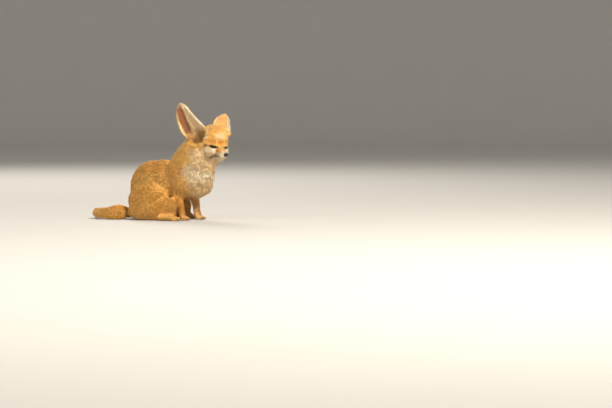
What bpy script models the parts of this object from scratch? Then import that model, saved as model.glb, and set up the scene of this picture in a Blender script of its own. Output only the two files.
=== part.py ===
"""A sitting fennec fox at life size, in the pose of a museum model.

The body, head and ears are shaped from rounded forms in three frames of their own, fused, and then parted into named
pieces with thin gaps. Lengths are in metres. +Z is up, +X is the way that the body mostly faces, and the origin is on
the floor under the middle of the model.
"""

import math
from random import Random

import bmesh
import bpy
from mathutils import Matrix, Vector
from mathutils.bvhtree import BVHTree

GAP = 0.0003

# The body frame has x forwards, y to the animal's left and z up, and stands turned on the floor.
BODY_YAW = math.radians(-20)

# The head frame has its origin midway between the eyes.
HEAD_PLACE = Vector((0.1195, -0.051, 0.1762))
HEAD_YAW = math.radians(-50)
HEAD_PITCH = math.radians(12)
HEAD_ROLL = math.radians(-3)

TRUNK_VOXEL = 0.0026
TRUNK_SMOOTHING = 34
BODY_VOXEL = 0.0020
BODY_SMOOTHING = 9
BODY_TRIANGLES = 3900
HEAD_VOXEL = 0.0010
HEAD_SMOOTHING = 14
HEAD_TRIANGLES = 3400

# Rounded forms as (centre, half sizes). A form with y above 0 has a twin on the right.
TORSO_FORMS = {
    "rump": ((-0.040, 0.0, 0.076), (0.064, 0.047, 0.069)),
    "seat": ((-0.058, 0.0, 0.036), (0.045, 0.046, 0.041)),
    "loin": ((-0.012, 0.0, 0.096), (0.068, 0.043, 0.051)),
    "ribs": ((0.024, 0.0, 0.097), (0.060, 0.041, 0.052)),
    "chest": ((0.064, 0.0, 0.094), (0.048, 0.037, 0.046)),
    "shoulder_blade": ((0.028, 0.022, 0.110), (0.036, 0.022, 0.036)),
    "shoulder": ((0.042, 0.028, 0.088), (0.028, 0.017, 0.032)),
    "thigh": ((-0.040, 0.038, 0.048), (0.055, 0.023, 0.043)),
    "thigh_fur": ((-0.042, 0.046, 0.024), (0.050, 0.020, 0.028)),
    "bib": ((0.088, 0.0, 0.121), (0.030, 0.030, 0.036)),
}
# Limb stations are (centre, half width, half height).
NECK_STATIONS = (
    ((0.038, 0.0, 0.098), 0.042, 0.052),
    ((0.054, 0.0, 0.128), 0.042, 0.052),
    ((0.070, 0.001, 0.156), 0.040, 0.047),
    ((0.089, 0.003, 0.183), 0.035, 0.037),
)
SKULL_FORMS = {
    "skull": ((-0.028, 0.0, 0.012), (0.035, 0.033, 0.030)),
    "crown": ((-0.026, 0.008, 0.024), (0.027, 0.021, 0.025)),
    "forehead": ((-0.008, 0.0, 0.009), (0.018, 0.022, 0.018)),
    "cheek": ((-0.012, 0.019, -0.012), (0.025, 0.018, 0.018)),
    "ruff": ((-0.028, 0.028, -0.014), (0.021, 0.017, 0.021)),
    "throat": ((-0.028, 0.0, -0.020), (0.028, 0.029, 0.022)),
    "under_chin": ((-0.004, 0.0, -0.033), (0.018, 0.016, 0.015)),
    "temple": ((-0.020, 0.026, 0.008), (0.020, 0.012, 0.020)),
}
KNEE_FORMS = {
    "knee": ((0.002, 0.045, 0.032), (0.036, 0.016, 0.031)),
}
SHIN_STATIONS = (
    ((0.010, 0.046, 0.030), 0.013, 0.018),
    ((-0.020, 0.049, 0.022), 0.012, 0.015),
    ((-0.046, 0.049, 0.015), 0.011, 0.013),
)
HIND_FOOT_STATIONS = (
    ((-0.050, 0.046, 0.010), 0.009, 0.011),
    ((-0.020, 0.048, 0.009), 0.010, 0.010),
    ((0.012, 0.051, 0.009), 0.011, 0.010),
    ((0.032, 0.051, 0.007), 0.013, 0.008),
)
HIND_TOES_AT = Vector((0.036, 0.051, 0.0048))
FORELEG_STATIONS = (
    ((0.040, 0.028, 0.086), 0.015, 0.026),
    ((0.032, 0.027, 0.062), 0.0125, 0.018),
    ((0.0365, 0.025, 0.040), 0.0095, 0.0115),
    ((0.040, 0.023, 0.020), 0.0090, 0.0098),
    ((0.043, 0.023, 0.006), 0.0110, 0.0100),
)
FORE_TOES_AT = Vector((0.050, 0.023, 0.0045))
TOE_RADII = (0.0080, 0.0044, 0.0060)
TOE_SPREAD = 0.0062
# The left foreleg stands this far in front of the right one.
FORELEG_STEP = {"left": 0.020, "right": 0.0}

TAIL_STATIONS = (
    ((-0.066, 0.030, 0.022), 0.011, 0.011),
    ((-0.095, 0.022, 0.016), 0.0135, 0.0135),
    ((-0.130, 0.010, 0.015), 0.015, 0.015),
    ((-0.158, 0.008, 0.015), 0.0155, 0.015),
    ((-0.173, 0.024, 0.015), 0.0155, 0.015),
    ((-0.172, 0.047, 0.015), 0.0155, 0.0145),
    ((-0.160, 0.071, 0.0145), 0.015, 0.0145),
    ((-0.146, 0.093, 0.0135), 0.013, 0.013),
    ((-0.135, 0.111, 0.011), 0.009, 0.0095),
    ((-0.129, 0.121, 0.0085), 0.004, 0.004),
)

# The tail's core, under its locks, as rows of place along the tail and share of the outline.
TAIL_CORE = ((0.0, 1.0), (0.20, 1.0), (0.36, 0.64), (1.0, 0.56))
# Rows of locks spring from the core between these places, sunk to this share of it, and reach this far along.
TAIL_LOCKS_SPAN = (0.22, 0.88)
TAIL_LOCK_ROWS = 6
TAIL_LOCKS_PER_ROW = 6
TAIL_LOCK_ROOT = 0.70
TAIL_LOCK_REACH = 0.22
TAIL_LOCK_WIDTH = 0.0160
TAIL_LOCK_SLIMS = 0.40
TAIL_LOCK_OUT = 0.95

# Fans of locks on the coat, as (frame, middle of the fan, which way it looks, where it lies, spread in degrees,
# number of locks, length, width). A fan with y above 0 in its look has a twin on the right.
HEAD_LOCK_FANS = (
    ("head", (-0.024, 0.008, -0.012), (-0.30, 1.0, -0.32), (-0.85, 0.30, -0.50), (70, 0, 0), 5, 0.024, 0.0140),
    ("head", (-0.014, 0.008, -0.016), (0.00, 1.0, -0.50), (-0.75, 0.30, -0.75), (56, 0, 0), 4, 0.022, 0.0130),
)
NECK_LOCK_FANS = (
    ("body", (0.070, 0.0, 0.127), (1.0, 0.0, -0.16), (0.10, 0.0, -1.0), (0, 0, 116), 6, 0.025, 0.0150),
)
TORSO_LOCK_FANS = (
    ("body", (0.062, 0.0, 0.105), (1.0, 0.0, 0.0), (-0.05, 0.0, -1.0), (0, 0, 124), 6, 0.027, 0.0150),
    ("body", (0.062, 0.0, 0.090), (1.0, 0.0, -0.1), (-0.30, 0.0, -1.0), (0, 0, 92), 5, 0.025, 0.0150),
)
LOCK_THICKNESS = 0.0030
LOCK_SUNK = 0.0026
LOCK_STANDS = 0.0026
# Places along a lock, its share of the full width there, and how far it has risen from its root to its tip's height.
LOCK_TAPER = ((0.0, 0.85, 0.0), (0.34, 1.0, 0.55), (0.70, 0.72, 0.95))
RANDOM_SEED = 7

FACE_FORMS = {
    "brow": ((-0.008, 0.018, 0.007), (0.013, 0.012, 0.0080)),
    "lids": ((-0.0025, 0.016, 0.0), (0.0122, 0.0122, 0.0120)),
    "whisker_pad": ((0.020, 0.0055, -0.0165), (0.011, 0.0064, 0.0070)),
}
MUZZLE_STATIONS = (
    ((-0.014, 0.0, -0.007), 0.023, 0.022),
    ((0.000, 0.0, -0.0105), 0.0190, 0.0170),
    ((0.009, 0.0, -0.0130), 0.0148, 0.0134),
    ((0.018, 0.0, -0.0145), 0.0112, 0.0110),
    ((0.026, 0.0, -0.0150), 0.0090, 0.0091),
    ((0.031, 0.0, -0.0150), 0.0068, 0.0069),
)
JAW_STATIONS = (
    ((-0.026, 0.0, -0.026), 0.022, 0.015),
    ((-0.010, 0.0, -0.0265), 0.0178, 0.0118),
    ((0.004, 0.0, -0.0258), 0.0125, 0.0092),
    ((0.015, 0.0, -0.0248), 0.0090, 0.0072),
    ((0.0235, 0.0, -0.0238), 0.0062, 0.0056),
)
MOUTH_LINE = (
    (0.0325, 0.0000, -0.0212),
    (0.0300, 0.0040, -0.0218),
    (0.0240, 0.0085, -0.0223),
    (0.0155, 0.0120, -0.0228),
    (0.0065, 0.0155, -0.0236),
    (-0.0020, 0.0190, -0.0256),
)
MOUTH_GROOVE = 0.0009
NOSE_CENTRE = Vector((0.0318, 0.0, -0.0125))
NOSE_RADII = (0.0046, 0.0060, 0.0045)
NOSTRIL_AT = Vector((0.0356, 0.0030, -0.0125))
NOSTRIL_RADII = (0.0022, 0.0013, 0.0010)

EYE_CENTRE = Vector((-0.002, 0.016, 0.0))
EYE_RADIUS = 0.0084
# The eyes look this far to the sides, and their outer corners are this much higher than the inner ones.
GAZE = math.radians(32)
EYE_SLANT = math.radians(4)
LID_OPENING = (0.014, 0.0104, 0.0029)

# Each ear: its root in the level frame of the head, its tip from there, how far its mouth is turned from straight
# ahead, and how far its middle bows outwards.
EAR_POSES = {
    "right": {"root": (-0.0365, -0.0330, 0.025), "rise": (-0.0350, -0.0360, 0.0735), "turn": 58, "bow": 0.0062},
    "left": {"root": (-0.0345, 0.0300, 0.025), "rise": (-0.0440, 0.0455, 0.0560), "turn": 118, "bow": 0.0050},
}
# Rows of height along the ear, half width and depth of the cup.
EAR_OUTLINE = (
    (-0.30, 0.0110, 0.0080),
    (-0.22, 0.0175, 0.0150),
    (-0.10, 0.0215, 0.0195),
    (0.05, 0.0238, 0.0205),
    (0.20, 0.0240, 0.0190),
    (0.38, 0.0225, 0.0165),
    (0.60, 0.0190, 0.0130),
    (0.78, 0.0152, 0.0092),
    (0.90, 0.0112, 0.0055),
    (0.97, 0.0074, 0.0025),
    (1.00, 0.0042, 0.0010),
)
# The cup's section is this much of a half oval, so that its rims flare, and its rims stand this share of the depth
# in front of the ear's middle.
EAR_SWEEP = math.radians(78)
EAR_FORWARD = 0.35
# Rows of height along the ear's fleshy root, half width and half depth.
EAR_ROOT = (
    (-0.50, 0.0150, 0.0120),
    (-0.30, 0.0200, 0.0150),
    (-0.12, 0.0225, 0.0160),
    (0.03, 0.0215, 0.0135),
    (0.12, 0.0190, 0.0100),
)
# The hollow of the ear goes down to the first of these heights.
EAR_HOLLOW = (-0.24, -0.14, 0.0, 0.15, 0.30)
# The ear is parted from its root at this height.
EAR_SEAM = 0.17
# The plain colour and roughness of each kind of piece.
COLOURS = {
    "torso": ((0.56, 0.35, 0.17), 0.85),
    "neck": ((0.66, 0.48, 0.29), 0.85),
    "head": ((0.66, 0.44, 0.22), 0.85),
    "ear": ((0.62, 0.42, 0.26), 0.80),
    "eye": ((0.020, 0.012, 0.008), 0.10),
    "nose": ((0.012, 0.010, 0.010), 0.35),
    "thigh": ((0.58, 0.37, 0.19), 0.85),
    "hindfoot": ((0.72, 0.56, 0.36), 0.85),
    "foreleg": ((0.60, 0.37, 0.18), 0.85),
    "forepaw": ((0.70, 0.52, 0.32), 0.85),
    "tail": ((0.54, 0.31, 0.13), 0.85),
}
TAIL_TIP_COLOUR = (0.035, 0.024, 0.018)
SHARP_ANGLE = math.radians(40)

EAR_WALL = 0.0024
EAR_COLUMNS = 10
EAR_ROWS = 13


def clear_scene():
    for thing in list(bpy.data.objects):
        bpy.data.objects.remove(thing)


def frame_matrix(place, yaw, pitch=0.0, roll=0.0):
    turn = Matrix.Rotation(yaw, 4, "Z") @ Matrix.Rotation(pitch, 4, "Y") @ Matrix.Rotation(roll, 4, "X")
    return Matrix.Translation(place) @ turn


BODY = frame_matrix(Vector(), BODY_YAW)
HEAD = frame_matrix(HEAD_PLACE, HEAD_YAW, HEAD_PITCH, HEAD_ROLL)
WORLD = Matrix.Identity(4)


def mirrored(centre):
    return Vector((centre[0], -centre[1], centre[2]))


def add_blob(bm, frame, centre, radii, segments=24):
    place = frame @ Matrix.Translation(Vector(centre)) @ Matrix.Diagonal((*radii, 1.0))
    bmesh.ops.create_uvsphere(bm, u_segments=segments, v_segments=segments * 2 // 3, radius=1.0, matrix=place)


def add_forms(bm, frame, forms):
    for centre, radii in forms.values():
        add_blob(bm, frame, centre, radii)
        if centre[1] > 0:
            add_blob(bm, frame, mirrored(centre), radii)


def smooth_path(stations, steps):
    """Points of a Catmull-Rom curve through the stations, each as (centre, half width, half height)."""
    rows = [(*Vector(c), w, h) for c, w, h in stations]
    rows = [rows[0], *rows, rows[-1]]
    found = []
    for i in range(1, len(rows) - 2):
        for k in range(steps):
            t = k / steps
            a, b, c, d = rows[i - 1 : i + 3]
            found.append([
                0.5 * (2 * q + (r - p) * t + (2 * p - 5 * q + 4 * r - s) * t * t + (3 * q - p - 3 * r + s) * t ** 3)
                for p, q, r, s in zip(a, b, c, d)
            ])
    found.append(list(rows[-1]))
    return [(Vector(row[:3]), row[3], row[4]) for row in found]


def add_limb(bm, frame, stations, sides=20, steps=4, up=Vector((0, 0, 1))):
    """A closed tube with oval sections through the stations."""
    path = smooth_path(stations, steps)
    rings = []
    for i, (centre, width, height) in enumerate(path):
        ahead = path[min(i + 1, len(path) - 1)][0] - path[max(i - 1, 0)][0]
        side = up.cross(ahead).normalized()
        rise = ahead.cross(side).normalized()
        ring = []
        for k in range(sides):
            angle = math.tau * k / sides
            point = centre + side * width * math.cos(angle) + rise * height * math.sin(angle)
            ring.append(bm.verts.new(frame @ point))
        rings.append(ring)
    for low, high in zip(rings, rings[1:]):
        for k in range(sides):
            bm.faces.new((low[k], low[(k + 1) % sides], high[(k + 1) % sides], high[k]))
    bm.faces.new(list(reversed(rings[0])))
    bm.faces.new(rings[-1])


def with_side(stations, side):
    return [((c[0], c[1] * side, c[2]), w, h) for c, w, h in stations]


def add_toes(bm, frame, middle, side):
    for k in range(4):
        across = (k - 1.5) * TOE_SPREAD
        forward = 0.003 if k in (1, 2) else 0.0
        centre = Vector((middle.x + forward, middle.y * side + across, middle.z))
        add_blob(bm, frame, centre, TOE_RADII, segments=16)


def object_from(name, bm):
    bmesh.ops.recalc_face_normals(bm, faces=bm.faces)
    mesh = bpy.data.meshes.new(name)
    bm.to_mesh(mesh)
    bm.free()
    made = bpy.data.objects.new(name, mesh)
    bpy.context.scene.collection.objects.link(made)
    return made


def apply_modifiers(thing):
    graph = bpy.context.evaluated_depsgraph_get()
    mesh = bpy.data.meshes.new_from_object(thing.evaluated_get(graph))
    thing.modifiers.clear()
    old = thing.data
    thing.data = mesh
    bpy.data.meshes.remove(old)


def fuse_and_smooth(thing, voxel, smoothing, triangles=None):
    """Melts the overlapping forms of a mesh into one smooth surface, of about that many triangles if any."""
    fuse = thing.modifiers.new("Fuse", "REMESH")
    fuse.mode = "VOXEL"
    fuse.voxel_size = voxel
    melt = thing.modifiers.new("Melt", "SMOOTH")
    melt.factor = 0.5
    melt.iterations = smoothing
    apply_modifiers(thing)
    if triangles:
        thin = thing.modifiers.new("Thin", "DECIMATE")
        thin.ratio = triangles / (2 * len(thing.data.polygons))
        apply_modifiers(thing)


def boolean(thing, others, operation, solver="EXACT"):
    """Joins thing with the others, or cuts or limits it by them."""
    group = bpy.data.collections.new("cutters")
    for other in others:
        group.objects.link(other)
    step = thing.modifiers.new(operation, "BOOLEAN")
    step.operation = operation
    step.solver = solver
    step.operand_type = "COLLECTION"
    step.collection = group
    apply_modifiers(thing)
    bpy.data.collections.remove(group)


def discard(things):
    for thing in things:
        bpy.data.objects.remove(thing)


def copy_of(thing, name):
    made = thing.copy()
    made.data = thing.data.copy()
    made.name = name
    bpy.context.scene.collection.objects.link(made)
    return made


def keep_largest(thing):
    """Drops all but the largest closed surface of a mesh."""
    bm = bmesh.new()
    bm.from_mesh(thing.data)
    left = set(bm.verts)
    shells = []
    while left:
        stack = [left.pop()]
        shell = set(stack)
        while stack:
            for edge in stack.pop().link_edges:
                for vert in edge.verts:
                    if vert in left:
                        left.discard(vert)
                        shell.add(vert)
                        stack.append(vert)
        shells.append(shell)
    shells.sort(key=len)
    for shell in shells[:-1]:
        bmesh.ops.delete(bm, geom=list(shell), context="VERTS")
    bm.to_mesh(thing.data)
    bm.free()


def box(name, frame, centre, size, turn=(0.0, 0.0, 0.0), grow=0.0):
    """A box by its centre, full sizes and turn in degrees, grown on every side."""
    bm = bmesh.new()
    rotation = Matrix.Identity(4)
    for angle, axis in zip(turn, "XYZ"):
        rotation = Matrix.Rotation(math.radians(angle), 4, axis) @ rotation
    scale = Matrix.Diagonal((*(side + 2 * grow for side in size), 1.0))
    place = frame @ Matrix.Translation(Vector(centre)) @ rotation @ scale
    bmesh.ops.create_cube(bm, size=1.0, matrix=place)
    return object_from(name, bm)


def carve(piece, name, frame, centre, size, turn=(0.0, 0.0, 0.0)):
    """Takes what lies in a box out of a piece as a new object, and leaves the gap on the piece's side."""
    made = copy_of(piece, name)
    inner = box("inner", frame, centre, size, turn)
    outer = box("outer", frame, centre, size, turn, grow=GAP)
    boolean(made, [inner], "INTERSECT")
    boolean(piece, [outer], "DIFFERENCE")
    discard([inner, outer])
    keep_largest(made)
    keep_largest(piece)
    return made


def trunk_mass():
    """The large forms of body, neck and skull, well melted together."""
    bm = bmesh.new()
    add_forms(bm, BODY, TORSO_FORMS)
    add_limb(bm, BODY, NECK_STATIONS, sides=28)
    add_forms(bm, HEAD, SKULL_FORMS)
    mass = object_from("trunk_mass", bm)
    fuse_and_smooth(mass, TRUNK_VOXEL, TRUNK_SMOOTHING)
    return mass


def body_mass(trunk):
    bm = bmesh.new()
    bm.from_mesh(trunk.data)
    add_forms(bm, BODY, KNEE_FORMS)
    for name, side in (("left", 1), ("right", -1)):
        add_limb(bm, BODY, with_side(SHIN_STATIONS, side))
        add_limb(bm, BODY, with_side(HIND_FOOT_STATIONS, side))
        add_toes(bm, BODY, HIND_TOES_AT, side)
        step = Matrix.Translation((FORELEG_STEP[name], 0, 0))
        add_limb(bm, BODY @ step, with_side(FORELEG_STATIONS, side), up=Vector((1, 0, 0)))
        add_toes(bm, BODY @ step, FORE_TOES_AT, side)
    add_limb(bm, WORLD, TAIL_STATIONS[:4])
    mass = object_from("body_mass", bm)
    fuse_and_smooth(mass, BODY_VOXEL, BODY_SMOOTHING, BODY_TRIANGLES)
    return mass


def head_mass(trunk, ears):
    bm = bmesh.new()
    bm.from_mesh(trunk.data)
    add_forms(bm, HEAD, FACE_FORMS)
    add_limb(bm, HEAD, MUZZLE_STATIONS, sides=24)
    add_limb(bm, HEAD, JAW_STATIONS, sides=24)
    for ear in ears:
        add_ear_root(bm, ear)
    floor = BODY @ Vector((0.0, 0.0, 0.095))
    cut = bmesh.ops.bisect_plane(bm, geom=[*bm.verts, *bm.edges, *bm.faces], plane_co=floor,
                                 plane_no=(0, 0, 1), clear_inner=True)
    bmesh.ops.holes_fill(bm, edges=[e for e in cut["geom_cut"] if isinstance(e, bmesh.types.BMEdge)])
    mass = object_from("head_mass", bm)
    fuse_and_smooth(mass, HEAD_VOXEL, HEAD_SMOOTHING, HEAD_TRIANGLES)
    return mass


def between(rows, at):
    """Reads a table of rows (place, value, value) at a place, between its rows."""
    for low, high in zip(rows, rows[1:]):
        if at <= high[0]:
            t = (at - low[0]) / (high[0] - low[0])
            return [a + (b - a) * t for a, b in zip(low[1:], high[1:])]
    return rows[-1][1:]


class Ear:
    """Where an ear stands: its root, its way up, the way its mouth faces and the way across it, in the world."""

    def __init__(self, pose):
        level = frame_matrix(HEAD_PLACE, HEAD_YAW, 0.0, HEAD_ROLL)
        turned = level.to_3x3()
        side = 1 if pose["root"][1] > 0 else -1
        turn = math.radians(pose["turn"]) * side
        self.root = level @ Vector(pose["root"])
        self.rise = turned @ Vector(pose["rise"])
        self.axis = self.rise.normalized()
        mouth = turned @ Vector((math.cos(turn), math.sin(turn), 0))
        self.mouth = (mouth - self.axis * mouth.dot(self.axis)).normalized()
        self.outward = self.axis.cross(self.mouth) * side
        self.bow = pose["bow"]

    def middle(self, height):
        return self.root + self.rise * height + self.outward * self.bow * math.sin(math.pi * max(height, 0.0))

    def frame(self, height):
        """A frame at a height with z up the ear and x out of its mouth."""
        across = self.axis.cross(self.mouth)
        turned = Matrix((self.mouth, across, self.axis)).transposed().to_4x4()
        return Matrix.Translation(self.middle(height)) @ turned


def ear_shell(name, ear):
    bm = bmesh.new()
    bmesh.ops.create_grid(bm, x_segments=EAR_COLUMNS, y_segments=EAR_ROWS, size=1.0)
    low = EAR_OUTLINE[0][0]
    for vert in bm.verts:
        turn, v = vert.co.x * EAR_SWEEP, (vert.co.y + 1) / 2
        height = low + (1 - low) * (1 - (1 - v) ** 1.25)
        width, depth = between(EAR_OUTLINE, height)
        across = math.sin(turn) / math.sin(EAR_SWEEP) * width
        forward = (EAR_FORWARD - math.cos(turn)) * depth
        vert.co = ear.middle(height) + ear.outward * across + ear.mouth * forward
    shell = object_from(name, bm)
    wall = shell.modifiers.new("Wall", "SOLIDIFY")
    wall.thickness = EAR_WALL
    wall.offset = 0.0
    wall.use_even_offset = True
    apply_modifiers(shell)
    return shell


def add_ear_root(bm, ear):
    stations = []
    for height, width, depth in EAR_ROOT:
        stations.append((ear.middle(height) - ear.mouth * depth * 0.4, width, depth))
    add_limb(bm, WORLD, stations, sides=20, up=ear.mouth)


def hollow_ear(head, ear):
    """Sinks the ear's cup into the flesh of its root."""
    stations = []
    for height in EAR_HOLLOW:
        width, depth = between(EAR_OUTLINE, height)
        narrow = 0.45 if height == EAR_HOLLOW[0] else 1.0
        centre = ear.middle(height) + ear.mouth * EAR_FORWARD * depth
        stations.append((centre, (width - EAR_WALL * 0.7) * narrow, (depth - EAR_WALL * 0.7) * narrow))
    bm = bmesh.new()
    add_limb(bm, WORLD, stations, sides=14, steps=2, up=ear.mouth)
    hollow = object_from("hollow", bm)
    boolean(head, [hollow], "DIFFERENCE")
    discard([hollow])


def eye_frame(side):
    """A frame at an eyeball's centre with x along its gaze and z up its opening."""
    centre = Vector((EYE_CENTRE.x, EYE_CENTRE.y * side, EYE_CENTRE.z))
    slant = Matrix.Rotation(EYE_SLANT * side, 4, "X")
    return HEAD @ Matrix.Translation(centre) @ Matrix.Rotation(GAZE * side, 4, "Z") @ slant


def ball(name, frame, centre, radii, segments=24):
    bm = bmesh.new()
    add_blob(bm, frame, centre, radii, segments)
    return object_from(name, bm)


def grown(radii, by):
    return tuple(radius + by for radius in radii)


def cut_eyes(head):
    """Hollows the sockets behind the lids and slits the lids. Gives the two eyeballs."""
    eyes = []
    for name, side in (("left", 1), ("right", -1)):
        frame = eye_frame(side)
        eyes.append(ball("eye_" + name, frame, (0, 0, 0), (EYE_RADIUS,) * 3, 15))
        socket = ball("socket", frame, (0, 0, 0), (EYE_RADIUS + GAP,) * 3, 15)
        opening = ball("opening", frame, (0.010, 0, 0), LID_OPENING, 18)
        boolean(head, [socket], "DIFFERENCE", "MANIFOLD")
        boolean(head, [opening], "DIFFERENCE", "MANIFOLD")
        discard([socket, opening])
    return eyes


def cut_mouth(head):
    """A thin groove along the lips on both sides, sunk half way into the face."""
    surface = surface_of(head)
    right = [mirrored(point) for point in reversed(MOUTH_LINE[1:])]
    lips = [surface.find_nearest(HEAD @ Vector(point))[0] for point in (*right, *MOUTH_LINE)]
    bm = bmesh.new()
    add_limb(bm, WORLD, [(point, MOUTH_GROOVE, MOUTH_GROOVE) for point in lips], sides=6, steps=2)
    groove = object_from("groove", bm)
    boolean(head, [groove], "DIFFERENCE", "MANIFOLD")
    discard([groove])


def cut_nose(head):
    """Sets the nose pad in a pocket of the muzzle, with its two nostrils."""
    pad = ball("nose", HEAD, NOSE_CENTRE, NOSE_RADII, 12)
    pocket = ball("pocket", HEAD, NOSE_CENTRE, grown(NOSE_RADII, GAP), 12)
    nostrils = [ball("nostril", HEAD, at, NOSTRIL_RADII, 10) for at in (NOSTRIL_AT, mirrored(NOSTRIL_AT))]
    boolean(head, [pocket], "DIFFERENCE", "MANIFOLD")
    for nostril in nostrils:
        boolean(pad, [nostril], "DIFFERENCE")
    discard([pocket, *nostrils])
    return pad


# Cuts are boxes as (frame, centre, full sizes, turn in degrees).
def resting_box(frame, point, tilt, size, below=False):
    """A cube of that size whose face lies on a plane through the point, tilted about y."""
    normal = Matrix.Rotation(math.radians(tilt), 3, "Y") @ Vector((0, 0, 1))
    centre = Vector(point) + normal * (-size / 2 if below else size / 2)
    return frame, centre, (size, size, size), (0, tilt, 0)


NECK_FROM_TORSO = {"frame": BODY, "point": (0.058, 0.0, 0.128), "tilt": 25}
HEAD_FROM_NECK = {"frame": HEAD, "point": (-0.045, 0.0, -0.020), "tilt": 217}
TAIL_FROM_TORSO = {"frame": WORLD, "point": (-0.108, 0.020, 0.020), "tilt": -100}
# The tail bends round to the left, and is dark beyond this place along y.
TAIL_TIP_FROM = 0.088
FOREPAW_BOX = ((0.050, 0.024, 0.005), (0.050, 0.032, 0.034))
FORELEG_BOX = ((0.041, 0.025, 0.038), (0.042, 0.030, 0.044))
HIND_FOOT_BOX = ((0.028, 0.056, 0.003), (0.070, 0.050, 0.030))
THIGH_BOX = ((-0.034, 0.075, 0.042), (0.160, 0.080, 0.104), 16)


def part_legs(body):
    """Parts paws, legs, feet and thighs from the body in that order."""
    pieces = []
    for name, side in (("left", 1), ("right", -1)):
        step = FORELEG_STEP[name]
        centre, size = FOREPAW_BOX
        at = (centre[0] + step, centre[1] * side, centre[2])
        pieces.append(carve(body, "forepaw_" + name, BODY, at, size))
        centre, size = FORELEG_BOX
        at = (centre[0] + step, centre[1] * side, centre[2])
        pieces.append(carve(body, "foreleg_" + name, BODY, at, size))
        centre, size = HIND_FOOT_BOX
        pieces.append(carve(body, "hindfoot_" + name, BODY, (centre[0], centre[1] * side, centre[2]), size))
        centre, size, lean = THIGH_BOX
        at = (centre[0], centre[1] * side, centre[2])
        pieces.append(carve(body, "thigh_" + name, BODY, at, size, (-lean * side, 0, 0)))
    return pieces


def cut_away(piece, frame, centre, size, turn=(0.0, 0.0, 0.0), grow=0.0):
    cutter = box("cutter", frame, centre, size, turn, grow)
    boolean(piece, [cutter], "DIFFERENCE")
    discard([cutter])
    keep_largest(piece)


def trim_floor(pieces):
    """Rests the pieces on small flats at floor level."""
    for piece in pieces:
        cut_away(piece, WORLD, (0, 0, -0.05), (1, 1, 0.1))


def lock_object(spine, tip):
    """A flat tapered lock. Its spine is rows of (point, half width vector, half thickness vector)."""
    bm = bmesh.new()
    rings = []
    for point, across, rise in spine:
        corners = (across + rise * 0.4, rise - across * 0.4, -across - rise * 0.4, across * 0.4 - rise)
        rings.append([bm.verts.new(point + corner) for corner in corners])
    for low, high in zip(rings, rings[1:]):
        for k in range(4):
            bm.faces.new((low[k], low[(k + 1) % 4], high[(k + 1) % 4], high[k]))
    end = bm.verts.new(tip)
    for k in range(4):
        bm.faces.new((rings[-1][k], rings[-1][(k + 1) % 4], end))
    bm.faces.new(list(reversed(rings[0])))
    bmesh.ops.triangulate(bm, faces=bm.faces)
    return object_from("lock", bm)


def tail_locks():
    """Locks that lie along the tail towards its tip, in staggered rows out to its outline."""
    random = Random(RANDOM_SEED)
    path = smooth_path(TAIL_STATIONS, 12)
    last = len(path) - 1

    def place(along, angle, share):
        """A point round the tail at a share of its outline, the way out from its middle, and the way ahead."""
        at = min(along, 1.0) * last
        low = min(int(at), last - 1)
        (a, wa, ha), (b, wb, hb) = path[low], path[low + 1]
        t = at - low
        side = Vector((0, 0, 1)).cross(b - a).normalized()
        rise = (b - a).cross(side).normalized()
        out = side * math.cos(angle) * (wa + (wb - wa) * t) + rise * math.sin(angle) * (ha + (hb - ha) * t)
        return a.lerp(b, t) + out * share, out.normalized(), (b - a).normalized()

    locks = []
    first, final = TAIL_LOCKS_SPAN
    for row in range(TAIL_LOCK_ROWS):
        part = row / (TAIL_LOCK_ROWS - 1)
        start = first + (final - first) * part
        sunk = between(TAIL_CORE, start)[0] * TAIL_LOCK_ROOT
        width = TAIL_LOCK_WIDTH * (1 - TAIL_LOCK_SLIMS * part * part)
        for k in range(TAIL_LOCKS_PER_ROW):
            angle = math.tau * (k + 0.5 * (row % 2) + random.uniform(-0.12, 0.12)) / TAIL_LOCKS_PER_ROW
            reach = min(TAIL_LOCK_REACH * random.uniform(0.90, 1.10), 1.0 - start)
            twist = random.uniform(-0.15, 0.15)
            spine = []
            for along, share, risen in LOCK_TAPER:
                height = sunk + (TAIL_LOCK_OUT - sunk) * risen
                point, out, ahead = place(start + reach * along, angle + twist * along, height)
                across = ahead.cross(out) * width / 2 * share
                spine.append((point, across, out * LOCK_THICKNESS / 2 * share))
            locks.append(lock_object(spine, place(start + reach, angle + twist, TAIL_LOCK_OUT)[0]))
    return locks


def surface_of(thing):
    bm = bmesh.new()
    bm.from_mesh(thing.data)
    surface = BVHTree.FromBMesh(bm)
    bm.free()
    return surface


def coat_locks(mass, fans, grow=0.0):
    """Locks that lie over a mass in fans, sprung from its surface and following it, grown on every side."""
    surface = surface_of(mass)
    random = Random(RANDOM_SEED)
    frames = {"head": HEAD, "body": BODY}
    locks = []
    for frame_name, middle, look, lie, spread, count, length, width in fans:
        frame = frames[frame_name]
        turned = frame.to_3x3()
        for side in (1, -1) if look[1] > 0 else (1,):
            flip = Vector((1, side, 1))
            for k in range(count):
                t = k / (count - 1) - 0.5 + random.uniform(-0.04, 0.04)
                fan = Matrix.Identity(3)
                for angle, axis in zip(spread, "XYZ"):
                    fan = Matrix.Rotation(math.radians(angle) * t, 3, axis) @ fan
                out = turned @ ((fan @ Vector(look)) * flip)
                root, normal = surface.ray_cast(frame @ (Vector(middle) * flip), out)[:2]
                lain = turned @ ((fan @ Vector(lie)) * flip)
                lain = (lain - normal * lain.dot(normal)).normalized()
                long = length * random.uniform(0.88, 1.12) + grow
                spine = []
                for along, share, risen in (*LOCK_TAPER, (1.0, 0.0, 1.0)):
                    near, up = surface.find_nearest(root + lain * long * along)[:2]
                    point = near + up * (LOCK_STANDS * risen - LOCK_SUNK * (1 - risen))
                    across = lain.cross(up).normalized() * (width / 2 * share + grow)
                    spine.append((point, across, up * (LOCK_THICKNESS / 2 * share + grow)))
                locks.append(lock_object(spine[:-1], spine[-1][0]))
    return locks


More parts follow.
